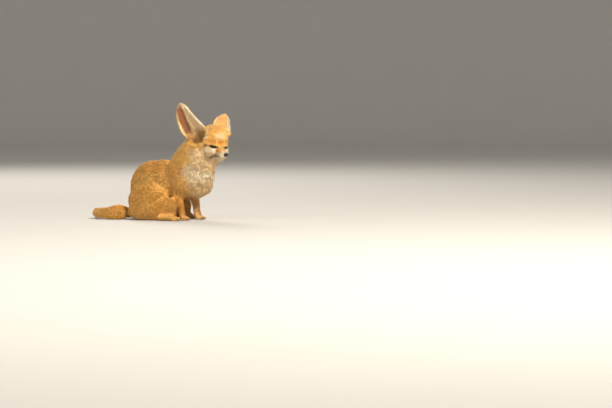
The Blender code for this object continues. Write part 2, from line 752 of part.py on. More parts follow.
def join_locks(piece, locks):
    boolean(piece, locks, "UNION", "MANIFOLD")
    discard(locks)
    keep_largest(piece)


def keep_off(piece, mass, beyond):
    """Cuts a piece's locks clear of what the mass fills in the region beyond a seam."""
    skin = copy_of(mass, "skin")
    for vert in skin.data.vertices:
        vert.co += vert.normal * GAP
    region = box("region", *beyond, grow=GAP * 0.9)
    boolean(region, [skin], "INTERSECT", "MANIFOLD")
    boolean(piece, [region], "DIFFERENCE", "MANIFOLD")
    discard([skin, region])
    keep_largest(piece)


def make_tail():
    """The tail from its root behind the rump to its tip, as a core with locks."""
    path = smooth_path(TAIL_STATIONS, 3)
    core = []
    for i, (centre, width, height) in enumerate(path):
        share = between(TAIL_CORE, i / (len(path) - 1))[0]
        core.append((centre, width * share, height * share))
    bm = bmesh.new()
    add_limb(bm, WORLD, core, sides=10, steps=1)
    tail = object_from("tail", bm)
    join_locks(tail, tail_locks())
    cut_away(tail, *resting_box(**TAIL_FROM_TORSO, size=0.3, below=True), grow=GAP)
    return tail


def plain_material(name, colour, roughness):
    material = bpy.data.materials.new(name)
    material.use_nodes = True
    shader = material.node_tree.nodes["Principled BSDF"]
    shader.inputs["Base Color"].default_value = (*colour, 1.0)
    shader.inputs["Roughness"].default_value = roughness
    shader.inputs["Metallic"].default_value = 0.0
    material.diffuse_color = (*colour, 1.0)
    return material


def paint(piece):
    """Gives a piece the plain colour of its coat or skin, and the tail its dark tip."""
    colour, roughness = COLOURS[piece.name.split("_")[0]]
    piece.data.materials.clear()
    piece.data.materials.append(plain_material(piece.name, colour, roughness))
    if piece.name == "tail":
        piece.data.materials.append(plain_material("tail_tip", TAIL_TIP_COLOUR, roughness))
        for face in piece.data.polygons:
            face.material_index = int(face.center.y + piece.location.y > TAIL_TIP_FROM)


def gather(pieces):
    """Puts the pieces in one collection under an empty, over the middle of the floor, each about its own centre."""
    group = bpy.data.collections.new("fennec_fox")
    bpy.context.scene.collection.children.link(group)
    corners = [vert.co for piece in pieces for vert in piece.data.vertices]
    middle = [(min(c[i] for c in corners) + max(c[i] for c in corners)) / 2 for i in range(2)]
    stand = bpy.data.objects.new("fennec_fox", None)
    stand.location = (-middle[0], -middle[1], 0)
    group.objects.link(stand)
    for piece in pieces:
        verts = [vert.co for vert in piece.data.vertices]
        centre = Vector([(min(c[i] for c in verts) + max(c[i] for c in verts)) / 2 for i in range(3)])
        piece.data.transform(Matrix.Translation(-centre))
        piece.data.shade_smooth()
        piece.data.set_sharp_from_angle(angle=SHARP_ANGLE)
        piece.location = centre
        piece.parent = stand
        paint(piece)
        bpy.context.scene.collection.objects.unlink(piece)
        group.objects.link(piece)


def main():
    clear_scene()
    ears = {side: Ear(pose) for side, pose in EAR_POSES.items()}
    trunk = trunk_mass()
    body = body_mass(trunk)
    head = head_mass(trunk, ears.values())
    discard([trunk])
    head_locks = coat_locks(head, HEAD_LOCK_FANS)
    neck_locks = coat_locks(head, NECK_LOCK_FANS)
    torso_locks = coat_locks(body, TORSO_LOCK_FANS)
    above = coat_locks(head, NECK_LOCK_FANS, grow=GAP)
    for lock in torso_locks:
        boolean(lock, above, "DIFFERENCE", "MANIFOLD")
    discard(above)
    over_neck = copy_of(head, "over_neck")
    over_torso = copy_of(body, "over_torso")
    neck_side = resting_box(**HEAD_FROM_NECK, size=0.3)
    torso_side = resting_box(**NECK_FROM_TORSO, size=0.3, below=True)
    neck = carve(head, "neck", *neck_side)
    cut_away(neck, *torso_side, grow=GAP)
    join_locks(head, head_locks)
    keep_off(head, over_neck, neck_side)
    join_locks(neck, neck_locks)
    keep_off(neck, over_torso, torso_side)
    discard([over_neck, over_torso])
    for ear in ears.values():
        hollow_ear(head, ear)
    shells = [ear_shell("shell", ear) for ear in ears.values()]
    boolean(head, shells, "UNION")
    discard(shells)
    pieces = []
    for side, ear in ears.items():
        seam = ear.frame(EAR_SEAM)
        pieces.append(carve(head, "ear_" + side, seam, (0, 0, 0.06), (0.062, 0.062, 0.12)))
    pieces.extend(cut_eyes(head))
    pieces.append(cut_nose(head))
    cut_mouth(head)
    join_locks(body, torso_locks)
    cut_away(body, *resting_box(**NECK_FROM_TORSO, size=0.3))
    cut_away(body, *resting_box(**TAIL_FROM_TORSO, size=0.3))
    pieces.extend(part_legs(body))
    head.name = "head"
    body.name = "torso"
    pieces.extend((head, neck, body, make_tail()))
    trim_floor(pieces)
    gather(pieces)


main()
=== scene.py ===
"""Dresses the fixed frame of a sitting fennec fox: skin, coat, eyes, lids, nose, lips, whiskers and claws.

Lengths are in metres, in the frame's own axes: +Z up, and +X the way that the body mostly faces.
"""

import math

import bmesh
import bpy
import numpy as np
from bpy.props import FloatProperty, FloatVectorProperty, IntProperty, PointerProperty
from mathutils import Matrix, Vector
from mathutils.bvhtree import BVHTree
from mathutils.geometry import barycentric_transform
from mathutils.kdtree import KDTree


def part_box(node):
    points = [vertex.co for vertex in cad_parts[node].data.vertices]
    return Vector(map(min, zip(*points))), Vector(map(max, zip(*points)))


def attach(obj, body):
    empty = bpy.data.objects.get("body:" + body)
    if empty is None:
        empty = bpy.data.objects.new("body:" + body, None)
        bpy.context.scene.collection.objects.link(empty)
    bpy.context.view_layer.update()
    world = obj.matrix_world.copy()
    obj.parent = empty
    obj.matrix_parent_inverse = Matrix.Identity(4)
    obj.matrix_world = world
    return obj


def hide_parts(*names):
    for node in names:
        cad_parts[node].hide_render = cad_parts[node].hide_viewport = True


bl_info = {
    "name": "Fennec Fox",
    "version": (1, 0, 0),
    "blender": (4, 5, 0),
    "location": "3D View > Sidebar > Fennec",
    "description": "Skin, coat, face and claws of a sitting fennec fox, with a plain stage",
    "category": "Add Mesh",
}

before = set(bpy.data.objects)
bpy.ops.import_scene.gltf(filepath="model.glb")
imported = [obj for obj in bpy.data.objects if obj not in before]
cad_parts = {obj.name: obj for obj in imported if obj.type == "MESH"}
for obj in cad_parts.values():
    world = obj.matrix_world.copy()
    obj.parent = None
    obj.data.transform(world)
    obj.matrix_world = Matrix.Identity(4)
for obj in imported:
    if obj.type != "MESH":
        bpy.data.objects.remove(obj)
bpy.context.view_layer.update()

FLESH = (
    "head", "ear_left", "ear_right", "neck", "torso", "foreleg_left", "foreleg_right", "forepaw_left",
    "forepaw_right", "thigh_left", "thigh_right", "hindfoot_left", "hindfoot_right", "tail",
)
KIND = np.array([node.split("_")[0] for node in FLESH])
SIDES = (("left", 1), ("right", -1))

# Places in the head's frame, which has x forwards, y to the left and its origin midway between the eyes.
EYE_AT = Vector((-0.002, 0.016, 0.0))
EYE_RADIUS = 0.0084
GAZE = math.radians(32)
EYE_SLANT = math.radians(4)
SLIT_HALF = (0.0098, 0.0025)
NOSE_AT = Vector((0.0318, 0.0, -0.0125))
NOSE_RADII = (0.0048, 0.0062, 0.0047)
NOSTRIL_AT = Vector((0.0358, 0.0031, -0.0124))
MOUTH_LINE = (
    (0.0325, 0.0000, -0.0212),
    (0.0300, 0.0040, -0.0218),
    (0.0240, 0.0085, -0.0223),
    (0.0155, 0.0120, -0.0228),
    (0.0065, 0.0155, -0.0236),
    (-0.0020, 0.0190, -0.0256),
)
WHISKER_PAD = Vector((0.0205, 0.0095, -0.0160))

# The head and the body stand turned like this, and the head's origin is here in the frame of design.
HEAD_YAW = math.radians(-50)
HEAD_ROLL = math.radians(-3)
HEAD_PLACE = Vector((0.1195, -0.051, 0.1762))
BODY_YAW = math.radians(-20)
EAR_POSES = {
    "right": {"root": (-0.0365, -0.0330, 0.025), "rise": (-0.0350, -0.0360, 0.0735), "turn": 58, "bow": 0.0062,
              "swell": (0.25, 0.0025), "drop": 0.0045, "lean": 0.0},
    "left": {"root": (-0.0345, 0.0300, 0.025), "rise": (-0.0440, 0.0455, 0.0560), "turn": 118, "bow": 0.0050,
             "swell": (0.75, 0.0045), "drop": 0.0020, "lean": 0.0040},
}
# The tail's middle line and its half thickness there, from its root to its tip.
TAIL_LINE = (
    ((-0.066, 0.030, 0.022), 0.0110),
    ((-0.095, 0.022, 0.016), 0.0135),
    ((-0.130, 0.010, 0.015), 0.0148),
    ((-0.160, 0.006, 0.015), 0.0150),
    ((-0.177, 0.023, 0.015), 0.0150),
    ((-0.176, 0.048, 0.015), 0.0150),
    ((-0.161, 0.071, 0.0145), 0.0145),
    ((-0.146, 0.093, 0.0135), 0.0130),
    ((-0.135, 0.111, 0.011), 0.0090),
    ((-0.129, 0.119, 0.0085), 0.0035),
)
# The ear's cup: rows of height from its root to its tip, half width and depth, the sweep of its section, and the share
# of the depth that its rims stand in front of its middle.
EAR_FORM = (
    (-0.30, 0.0110, 0.0080),
    (-0.10, 0.0215, 0.0195),
    (0.20, 0.0240, 0.0190),
    (0.60, 0.0190, 0.0130),
    (0.90, 0.0112, 0.0055),
    (1.00, 0.0042, 0.0010),
)
EAR_SWEEP = math.radians(78)
EAR_FORWARD = 0.35
# Each foot's middle, in the body's frame, and how far the left forefoot stands ahead.
FEET = {"forepaw": Vector((0.050, 0.023, 0.0045)), "hindfoot": Vector((0.036, 0.051, 0.0048))}
FOREFOOT_STEP = {"left": 0.020, "right": 0.0}
TOE_RADII = Vector((0.0080, 0.0044, 0.0060))
TOE_SPREAD = 0.0062

# For each part of the body: how deep the skin lies under the coat's outline, how long and wide its tufts are, how
# steeply they rise in degrees, and how many stand on a square centimetre.
COATS = {
    "torso": (0.0056, 0.0138, 0.0009, 24, 94),
    "neck": (0.0062, 0.0170, 0.0010, 26, 88),
    "head": (0.0030, 0.0082, 0.0007, 21, 135),
    "ear": (0.0002, 0.0042, 0.0005, 19, 230),
    "foreleg": (0.0020, 0.0075, 0.0007, 20, 120),
    "forepaw": (0.0014, 0.0048, 0.0006, 22, 170),
    "thigh": (0.0044, 0.0122, 0.0009, 22, 96),
    "hindfoot": (0.0016, 0.0070, 0.0007, 22, 150),
    "tail": (0.0062, 0.0175, 0.0010, 15, 98),
}
# The same for places within those parts, each laid over the ones before it.
PLACE_COATS = {
    "cheek": (0.0048, 0.0130, 0.0008, 23, 112),
    "throat": (0.0052, 0.0140, 0.0009, 24, 98),
    "crown": (0.0036, 0.0095, 0.0008, 23, 125),
    "muzzle": (0.0010, 0.0040, 0.0005, 20, 300),
    "lids": (0.0012, 0.0036, 0.0005, 19, 300),
    "nose": (0.0005, 0.0026, 0.0004, 24, 420),
    "tail_tip": (0.0040, 0.0100, 0.0009, 18, 130),
    "ear": COATS["ear"],
    "ear_fringe": (0.0002, 0.0105, 0.0006, 17, 130),
    "ear_bare": (0.0002, 0.0022, 0.0004, 20, 60),
    "ear_rim": (0.0002, 0.0050, 0.0005, 14, 340),
    "ear_foot": (0.0006, 0.0095, 0.0008, 38, 260),
    "eye_rim": (0.0006, 0.0020, 0.0004, 20, 460),
    "foreleg_top": (0.0042, 0.0125, 0.0009, 26, 110),
    "tail_stump": (0.0002, 0.0190, 0.0012, 30, 140),
}
# The face's markings, with painted shade in the creases below the eyes, in the head's frame folded to one side:
# lines as (start, end, radius, strength) and ovals as (middle, half sizes, strength).
EYE_LINES = (
    ((-0.0036, 0.0262, 0.0010), (-0.0080, 0.0306, -0.0002), 0.0028, 1.0),
    ((0.0058, 0.0112, -0.0006), (0.0092, 0.0078, -0.0024), 0.0022, 1.0),
    # These two lines down the cheek from each eye's outer corner are painted shade of a crease.
    ((-0.0088, 0.0312, -0.0006), (-0.0130, 0.0340, -0.0078), 0.0017, 0.55),
    ((-0.0130, 0.0340, -0.0078), (-0.0175, 0.0368, -0.0145), 0.0020, 0.50),
    ((0.0030, 0.0200, 0.0056), (0.0090, 0.0105, 0.0068), 0.0018, 0.35),
)
PALE_LINES = (
    ((0.0000, 0.0290, -0.0085), (0.0120, 0.0120, -0.0112), 0.0076, 1.2),
    ((-0.0205, 0.0330, 0.0130), (-0.0110, 0.0300, 0.0158), 0.0040, 1.0),
)
PALE_OVALS = (
    ((-0.0220, 0.0280, 0.0260), (0.012, 0.012, 0.014), 0.75),
    ((0.0000, 0.0000, 0.0210), (0.014, 0.018, 0.012), 0.50),
)
BRIDGE_PATCH = ((0.0145, 0.0098, -0.0078), (0.0110, 0.0066, 0.0078))
RUST_OVALS = (
    (*BRIDGE_PATCH, 1.0),
    ((-0.0010, 0.0210, 0.0105), (0.016, 0.012, 0.007), 0.60),
    ((0.0060, 0.0030, 0.0095), (0.008, 0.008, 0.006), 0.90),
    ((-0.0200, 0.0000, 0.0420), (0.016, 0.022, 0.014), 0.55),
    ((0.0160, 0.0000, -0.0285), (0.016, 0.012, 0.006), 0.60),
)
DARK_LINES = (((0.0075, 0.0145, -0.0240), (0.0010, 0.0170, -0.0250), 0.0042, 0.55),)
DARK_OVALS = (
    ((0.0060, 0.0030, 0.0095), (0.006, 0.006, 0.005), 0.15),
    (NOSE_AT, (0.0082, 0.0086, 0.0076), 0.70),
)
# The dark rim of the lids is so much wider and taller than the opening.
RIM_WIDER = (1.15, 1.62)
# The gland's darker spot near the tail's root, in the frame of design.
GLAND_SPOT = ((-0.128, 0.012, 0.030), (0.018, 0.009, 0.009))

# How the hair lies: (place, direction) in the head's frame and in the body's, with a twin across where y isn't 0.
HEAD_LIE = (
    ((0.026, 0.0, -0.006), (-1.0, 0.0, 0.25)),
    ((0.012, 0.0, 0.002), (-0.9, 0.0, 0.5)),
    ((0.022, 0.009, -0.015), (-0.9, 0.35, -0.2)),
    ((0.008, 0.018, -0.014), (-0.8, 0.5, -0.35)),
    ((0.006, 0.010, 0.004), (-0.6, 0.4, 0.7)),
    ((-0.004, 0.0, 0.022), (-0.6, 0.0, 0.8)),
    ((-0.020, 0.0, 0.048), (-1.0, 0.0, 0.3)),
    ((-0.004, 0.020, 0.014), (-0.6, 0.4, 0.6)),
    ((-0.014, 0.034, 0.006), (-0.9, 0.35, 0.05)),
    ((-0.012, 0.034, -0.014), (-0.85, 0.3, -0.45)),
    ((-0.030, 0.040, -0.012), (-0.8, 0.2, -0.6)),
    ((0.016, 0.0, -0.031), (-0.9, 0.0, -0.4)),
    ((-0.010, 0.018, -0.034), (-0.7, 0.3, -0.7)),
    ((-0.020, 0.0, -0.046), (-0.4, 0.0, -1.0)),
    ((-0.055, 0.0, 0.015), (-0.8, 0.0, -0.6)),
    ((-0.035, 0.030, 0.022), (-0.9, 0.1, -0.1)),
)
BODY_LIE = (
    ((0.052, 0.0, 0.170), (-0.6, 0.0, -0.8)),
    ((0.020, 0.0, 0.147), (-1.0, 0.0, -0.15)),
    ((-0.030, 0.0, 0.145), (-1.0, 0.0, -0.05)),
    ((-0.080, 0.0, 0.115), (-0.75, 0.0, -0.65)),
    ((-0.103, 0.0, 0.070), (-0.25, 0.0, -1.0)),
    ((-0.100, 0.0, 0.030), (-0.4, 0.0, -0.9)),
    ((0.030, 0.040, 0.110), (-0.8, 0.1, -0.6)),
    ((-0.030, 0.046, 0.100), (-0.8, 0.05, -0.6)),
    ((-0.070, 0.042, 0.080), (-0.55, 0.0, -0.8)),
    ((0.070, 0.040, 0.140), (-0.45, 0.1, -0.9)),
    ((0.110, 0.0, 0.130), (0.05, 0.0, -1.0)),
    ((0.108, 0.0, 0.100), (-0.10, 0.0, -1.0)),
    ((0.098, 0.030, 0.100), (-0.15, 0.1, -1.0)),
    ((0.096, 0.0, 0.070), (-0.55, 0.0, -0.8)),
    ((0.060, 0.0, 0.052), (-0.9, 0.0, -0.3)),
    ((0.050, 0.044, 0.080), (-0.25, 0.0, -1.0)),
    ((0.015, 0.040, 0.066), (-0.7, 0.0, -0.7)),
    ((-0.030, 0.066, 0.060), (-0.55, 0.1, -0.85)),
    ((-0.070, 0.060, 0.040), (-0.60, 0.0, -0.8)),
    ((0.020, 0.062, 0.060), (-0.10, 0.1, -1.0)),
    ((0.034, 0.055, 0.036), (0.10, 0.0, -1.0)),
    ((0.022, 0.053, 0.056), (0.90, 0.15, -0.35)),
    ((0.004, 0.056, 0.066), (0.60, 0.20, -0.70)),
    ((-0.030, 0.070, 0.020), (-0.50, 0.0, -0.8)),
    ((0.010, 0.056, 0.014), (0.75, 0.0, -0.5)),
    ((0.038, 0.051, 0.012), (1.0, 0.0, -0.25)),
    ((0.037, 0.026, 0.045), (0.05, 0.0, -1.0)),
    ((0.040, 0.024, 0.022), (0.10, 0.0, -1.0)),
    ((0.054, 0.023, 0.012), (1.0, 0.0, -0.35)),
)

# The coat's pieces: name, material slot, the nodes that they cover, and the side and end of the body, or 0 for both.
COAT_PIECES = (
    ("coat_face_left", "coat_face", ("head",), 1, 0),
    ("coat_face_right", "coat_face", ("head",), -1, 0),
    ("coat_ears", "ear_skin", ("ear_left", "ear_right"), 0, 0),
    ("coat_neck", "coat_throat", ("neck",), 0, 0),
    ("coat_shoulder_left", "coat_back", ("torso",), 1, 1),
    ("coat_shoulder_right", "coat_back", ("torso",), -1, 1),
    ("coat_rump_left", "coat_back", ("torso",), 1, -1),
    ("coat_rump_right", "coat_back", ("torso",), -1, -1),
    ("coat_forelegs", "coat_legs", ("foreleg_left", "foreleg_right", "forepaw_left", "forepaw_right"), 0, 0),
    ("coat_hindleg_left", "coat_legs", ("thigh_left", "hindfoot_left"), 0, 0),
    ("coat_hindleg_right", "coat_legs", ("thigh_right", "hindfoot_right"), 0, 0),
    ("coat_tail_inner", "coat_tail", ("tail",), -1, 0),
    ("coat_tail_outer", "coat_tail", ("tail",), 1, 0),
)
# The shoulders' coat meets the rump's at this place along the body.
BACK_MIDDLE = -0.010
# Tufts shorter than the first are straight spikes, and those longer than the second have an extra ring. Each ring is a
# place along the tuft and a share of its width.
SPIKE_LENGTH = 0.0066
LONG_TUFT = 0.0185
SPIKE_RINGS = ((0.0, 1.0),)
SHORT_RINGS = ((0.0, 0.8), (0.5, 1.0))
LONG_RINGS = ((0.0, 0.8), (0.4, 1.0), (0.75, 0.75))
# How wide and tall each tuft's patch is on the unwrap, which is made of about so many faces.
PATCH = 0.003
UNWRAP_FACES = 5000
# How far skin and hair stay off the floor.
FLOOR_GAP = 0.0004
# The flesh nodes swell this much before they melt into one on cubes of that size, and this share of the faces is kept.
PUFF = 0.0003
VOXEL = 0.0013
SKIN_SHARE = 0.60
RANDOM_SEED = 11

# Rounds of smoothing: of the melted skin, of the solids' locks under the coat, and of the markings.
SKIN_ROUNDS = 5
LOCK_ROUNDS = 70
MARK_ROUNDS = 16
# How many degrees more hair rises in a hollow of the head and of the body, and from what depth to what depth.
HOLLOW_RISES = (30, 8)
HOLLOW_DEPTHS = (0.00003, 0.00030)
# The tufts' spread of length, of width and rise, and of lie and shade, each of the last two at random and in waves.
LENGTH_SPREAD = (0.75, 1.12)
SIZE_SPREAD = (0.75, 1.2)
LIE_SPREAD = (0.16, 0.28)
SHADE_SPREAD = (0.16, 0.24)
# The share of tufts with dark tips, and how dark those are.
TIPPED_SHARE = 0.16
TIP_DARKNESS = (0.2, 0.6)
# Tufts lean towards the middle one of a clump of so many: this share of the way, of which no more than this share of
# their length counts.
CLUMP_SIZE = 10
CLUMP_LEAN = 0.6
CLUMP_REACH = 0.22
# A tuft's root lies under the skin by this share of its length, up to the second. Its tip rises by this share of its
# root's rise, and its back stands this share of its half width high.
ROOT_SINK = (0.08, 0.0008)
TIP_RISE = 0.35
TUFT_FLATNESS = 0.7
# A claw's place along its length, how far it has dropped there and its radius.
CLAW_FORM = ((0.0, 0.0, 0.0012), (0.35, 0.0002, 0.0011), (0.7, 0.0014, 0.0008), (1.0, 0.0036, 0.0002))
CLAW_LENGTH = 0.0062
CLAW_HEIGHT = 0.0052
# The long hairs over each eye: where they start, which way they point and how long they are beside the muzzle's.
BROW_WHISKERS = (((0.000, 0.014, 0.011), (0.2, 0.6, 0.9), 0.6), ((-0.003, 0.018, 0.011), (0.0, 0.8, 0.8), 0.55))
# How much thicker a whisker's radius is at its root than at its tip, and what it is there.
WHISKER_RADII = (0.00013, 0.00003)
# Where the camera aims, in the frame of design, and the soft lights: name, place, width, power in watts and colour.
CAMERA_AIM = Vector((0.3264, 0.0, 0.0372))
LIGHTS = (
    ("key", (1.5, -2.3, 2.5), 1.1, 165, (1.0, 0.92, 0.80)),
    ("fill", (-2.4, -2.0, 1.2), 2.2, 30, (0.94, 0.97, 1.0)),
    ("back", (-0.8, 2.6, 2.2), 1.8, 60, (1.0, 0.94, 0.86)),
)
SKY_COLOUR = (1.0, 0.97, 0.93, 1)
SKY_STRENGTH = 0.40
# The floor turns up into the backdrop on this radius, and the backdrop ends at this height.
BACKDROP_TURN = 2.0
BACKDROP_TOP = 6.0


def middle_of(node):
    """The middle of a node's box."""
    low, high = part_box(node)
    return (Vector(low) + Vector(high)) / 2


def head_frame():
    """The head's frame, read from where the eyes and the nose are."""
    left, right, nose = (middle_of(node) for node in ("eye_left", "eye_right", "nose"))
    across = (left - right).normalized()
    between = (left + right) / 2
    ahead = nose - between
    ahead = (ahead - across * ahead.dot(across)).normalized()
    drop = math.atan2(EYE_AT.z - NOSE_AT.z, NOSE_AT.x - EYE_AT.x)
    above = ahead.cross(across)
    forward = ahead * math.cos(drop) + above * math.sin(drop)
    up = above * math.cos(drop) - ahead * math.sin(drop)
    turned = Matrix((forward, across, up)).transposed().to_4x4()
    return Matrix.Translation(between - forward * EYE_AT.x) @ turned


HEAD = head_frame()
SHIFT = Matrix.Translation(HEAD.translation - HEAD_PLACE)
BODY = SHIFT @ Matrix.Rotation(BODY_YAW, 4, "Z")


def to_frame(matrix, points):
    """World points as rows, in a frame's own coordinates."""
    inverse = np.array(matrix.inverted())
    return points @ inverse[:3, :3].T + inverse[:3, 3]


def folded(rows):
    """The same rows with y made positive, so that one marking serves both sides."""
    return rows * (1, 0, 1) + np.abs(rows) * (0, 1, 0)


def step(values, low, high):
    """0 below low, 1 above high, and smooth between."""
    t = np.clip((values - low) / (high - low), 0.0, 1.0)
    return t * t * (3 - 2 * t)


def near(points, place, radii):
    """1 at a place and 0 outside an oval of those half sizes round it."""
    away = np.linalg.norm((points - np.array(place)) / np.array(radii), axis=1)
    return 1 - step(away, 0.45, 1.0)


def streak(points, start, end, radius):
    """1 along a line between two places and 0 further than a radius from it."""
    start, end = np.array(start), np.array(end)
    along = np.clip((points - start) @ (end - start) / ((end - start) @ (end - start)), 0, 1)
    away = np.linalg.norm(points - start - along[:, None] * (end - start), axis=1) / radius
    return 1 - step(away, 0.5, 1.0)


def marked(points, lines=(), ovals=()):
    """The strongest, at each point, of some lines and ovals of a marking."""
    drawn = [streak(points, start, end, radius) * strength for start, end, radius, strength in lines]
    drawn += [near(points, place, radii) * strength for place, radii, strength in ovals]
    return np.maximum.reduce(drawn)


def on(parts, *kinds):
    """1 for each point on one of those kinds of part, and 0 elsewhere."""
    return np.isin(KIND[parts], kinds).astype(float)


def unit(rows):
    """The rows, each made one long."""
    return rows / np.maximum(np.linalg.norm(rows, axis=1, keepdims=True), 1e-9)


def wander(points, scale, seed):
    """A smooth random field from -1 to 1, with swells of about that size."""
    random = np.random.default_rng(seed)
    total = np.zeros(len(points))
    for share, size in ((0.6, 1.0), (0.4, 0.45)):
        for _ in range(5):
            wave = unit(random.normal(size=(1, 3)))[0] * math.tau / (scale * size)
            total += share / 5 * np.sin(points @ wave + random.uniform(0, math.tau)) * 1.8
    return np.clip(total, -1, 1)


def eye_frame(side):
    """A frame at an eyeball's centre with x along its gaze and z up its opening."""
    centre = Vector((EYE_AT.x, EYE_AT.y * side, EYE_AT.z))
    slant = Matrix.Rotation(EYE_SLANT * side, 4, "X")
    return HEAD @ Matrix.Translation(centre) @ Matrix.Rotation(GAZE * side, 4, "Z") @ slant


class Ear:
    """Where an ear stands: its root, its way up, the way its mouth faces and the way to its outer rim."""

    def __init__(self, side_name, side):
        pose = EAR_POSES[side_name]
        turned = Matrix.Rotation(HEAD_YAW, 3, "Z") @ Matrix.Rotation(HEAD_ROLL, 3, "X")
        turn = math.radians(pose["turn"]) * side
        rise = turned @ Vector(pose["rise"])
        axis = rise.normalized()
        mouth = turned @ Vector((math.cos(turn), math.sin(turn), 0))
        mouth = (mouth - axis * mouth.dot(axis)).normalized()
        self.root = np.array(HEAD.translation + turned @ Vector(pose["root"]))
        self.tall = rise.length
        self.axis = np.array(axis)
        self.mouth = np.array(mouth)
        self.outward = np.array(axis.cross(mouth) * side)
        self.bow, self.swell, self.drop, self.lean = (pose[key] for key in ("bow", "swell", "drop", "lean"))

    def place(self, points):
        """For each point: its height from root to tip, and how far it is towards the outer rim and forwards."""
        from_root = points - self.root
        height = from_root @ self.axis / self.tall
        bend = self.bow * np.sin(math.pi * np.clip(height, 0, 1))
        return height, from_root @ self.outward - bend, from_root @ self.mouth

    def cup(self, points):
        """Each point's height in the cup, its place across as a share of the half width, and how far it lies in
        front of the cup's wall."""
        height, out, forward = self.place(points)
        heights, widths, depths = np.array(EAR_FORM).T
        across = out / np.interp(height, heights, widths)
        turn = np.arcsin(np.clip(across, -1, 1) * math.sin(EAR_SWEEP))
        return height, across, forward - (EAR_FORWARD - np.cos(turn)) * np.interp(height, heights, depths)


EARS = {name: Ear(name, side) for name, side in SIDES}


def placed(name, data):
    """An object in the scene for a mesh, curve, light or camera."""
    made = bpy.data.objects.new(name, data)
    bpy.context.scene.collection.objects.link(made)
    return made


def object_from(name, bm):
    """An object in the scene from a bmesh, which is freed."""
    mesh = bpy.data.meshes.new(name)
    bm.to_mesh(mesh)
    bm.free()
    return placed(name, mesh)


def settle(piece, slot, material, *replaced):
    """Rides a finished piece on the body, gives it its finish and hides the nodes that it stands for; the slot is not
    used.
    """
    piece.data.materials.clear()
    piece.data.materials.append(material)
    piece.data.shade_smooth()
    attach(piece, "root")
    if replaced:
        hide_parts(*replaced)
    return piece


def column(data, name, width, kind=np.float32):
    """One property of a whole collection of Blender's as an array, with a row for each item."""
    values = np.empty(len(data) * width, kind)
    data.foreach_get(name, values)
    return values.reshape(-1, width) if width > 1 else values


def set_field(mesh, name, values, kind="FLOAT"):
    """Keeps a number or a vector for each point of a mesh, as an attribute."""
    field = mesh.attributes.new(name, kind, "POINT")
    flat = np.ascontiguousarray(values, np.float32).ravel()
    field.data.foreach_set("vector" if kind == "FLOAT_VECTOR" else "value", flat)


def get_field(mesh, name, width=1):
    """What a mesh's points carry under that name."""
    return column(mesh.attributes[name].data, "vector" if width == 3 else "value", width).astype(float)


class Net:
    """A mesh's points and edges as arrays, for smoothing what the points carry."""

    def __init__(self, mesh):
        self.points = column(mesh.vertices, "co", 3).astype(float)
        self.normals = column(mesh.vertex_normals, "vector", 3).astype(float)
        edges = column(mesh.edges, "vertices", 2, np.int32)
        self.first, self.second = edges[:, 0], edges[:, 1]
        self.count = np.maximum(np.bincount(edges.ravel(), minlength=len(self.points)), 1)

    def averages(self, row):
        """Each point's average over its neighbours."""
        size = len(row)
        total = np.bincount(self.first, row[self.second], size)
        return (total + np.bincount(self.second, row[self.first], size)) / self.count

    def smooth(self, values, rounds, share=1.0):
        """Moves each value towards its neighbours' average by a share, the same for all or one for each point."""
        columns = values.reshape(len(values), -1).T.copy()
        for _ in range(rounds):
            for k, row in enumerate(columns):
                columns[k] = row + (self.averages(row) - row) * share
        return columns.T.reshape(values.shape)

    def ease(self, values, rounds, share=1.0):
        """Smooths lumps away without shrinking the whole: each round moves in, and then out a little further."""
        for _ in range(rounds):
            values = self.smooth(self.smooth(values, 1, share * 0.63), 1, share * -0.65)
        return values


def place_points(mesh, points):
    """Moves a mesh's points to new places."""
    mesh.vertices.foreach_set("co", np.ascontiguousarray(points, np.float32).ravel())
    mesh.update()


def plain_tail():
    """A smooth tail along its middle line, without the locks of the solid one."""
    core = strands("tail_core", [[(SHIFT @ Vector(place), thick) for place, thick in TAIL_LINE]], 6, 8)
    mesh = core.data
    bpy.data.objects.remove(core)
    return mesh


def welded(puff=0.0):
    """The flesh nodes in one bmesh, each closed and swollen a little, and each face's number in the list of nodes."""
    bm = bmesh.new()
    owners = []
    for number, node in enumerate(FLESH):
        part = bmesh.new()
        part.from_mesh(plain_tail() if node == "tail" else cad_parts[node].data)
        bmesh.ops.remove_doubles(part, verts=part.verts, dist=1e-6)
        bmesh.ops.recalc_face_normals(part, faces=part.faces)
        part.normal_update()
        for vert in part.verts:
            vert.co += vert.normal * puff
        copy = bpy.data.meshes.new(node)
        part.to_mesh(copy)
        part.free()
        bm.from_mesh(copy)
        bpy.data.meshes.remove(copy)
        owners.extend([number] * (len(bm.faces) - len(owners)))
    return bm, owners


def keep_largest(bm):
    """Drops all but the largest closed surface."""
    left = set(bm.verts)
    shells = []
    while left:
        stack = [left.pop()]
        shell = set(stack)
        while stack:
            for edge in stack.pop().link_edges:
                for vert in edge.verts:
                    if vert in left:
                        left.discard(vert)
                        shell.add(vert)
                        stack.append(vert)
        shells.append(shell)
    shells.sort(key=len)
    for shell in shells[:-1]:
        bmesh.ops.delete(bm, geom=list(shell), context="VERTS")


def applied(made):
    """A copy of an object's mesh with its modifiers applied."""
    graph = bpy.context.evaluated_depsgraph_get()
    return bpy.data.meshes.new_from_object(made.evaluated_get(graph))


def melted_flesh():
    """All the flesh melted into one closed surface, without the seams between the nodes."""
    skin = object_from("skin", welded(PUFF)[0])
    melt = skin.modifiers.new("Melt", "REMESH")
    melt.mode = "VOXEL"
    melt.voxel_size = VOXEL
    skin.modifiers.new("Thin", "DECIMATE").ratio = SKIN_SHARE
    mesh = applied(skin)
    skin.modifiers.clear()
    bm = bmesh.new()
    bm.from_mesh(mesh)
    bpy.data.meshes.remove(mesh)
    keep_largest(bm)
    bm.to_mesh(skin.data)
    bm.free()
    return skin


def nodes_under(points):
    """The number of the flesh node that each point lies nearest to."""
    bm, owners = welded()
    surface = BVHTree.FromBMesh(bm)
    bm.free()
    return np.array([owners[surface.find_nearest(Vector(point))[2]] for point in points])


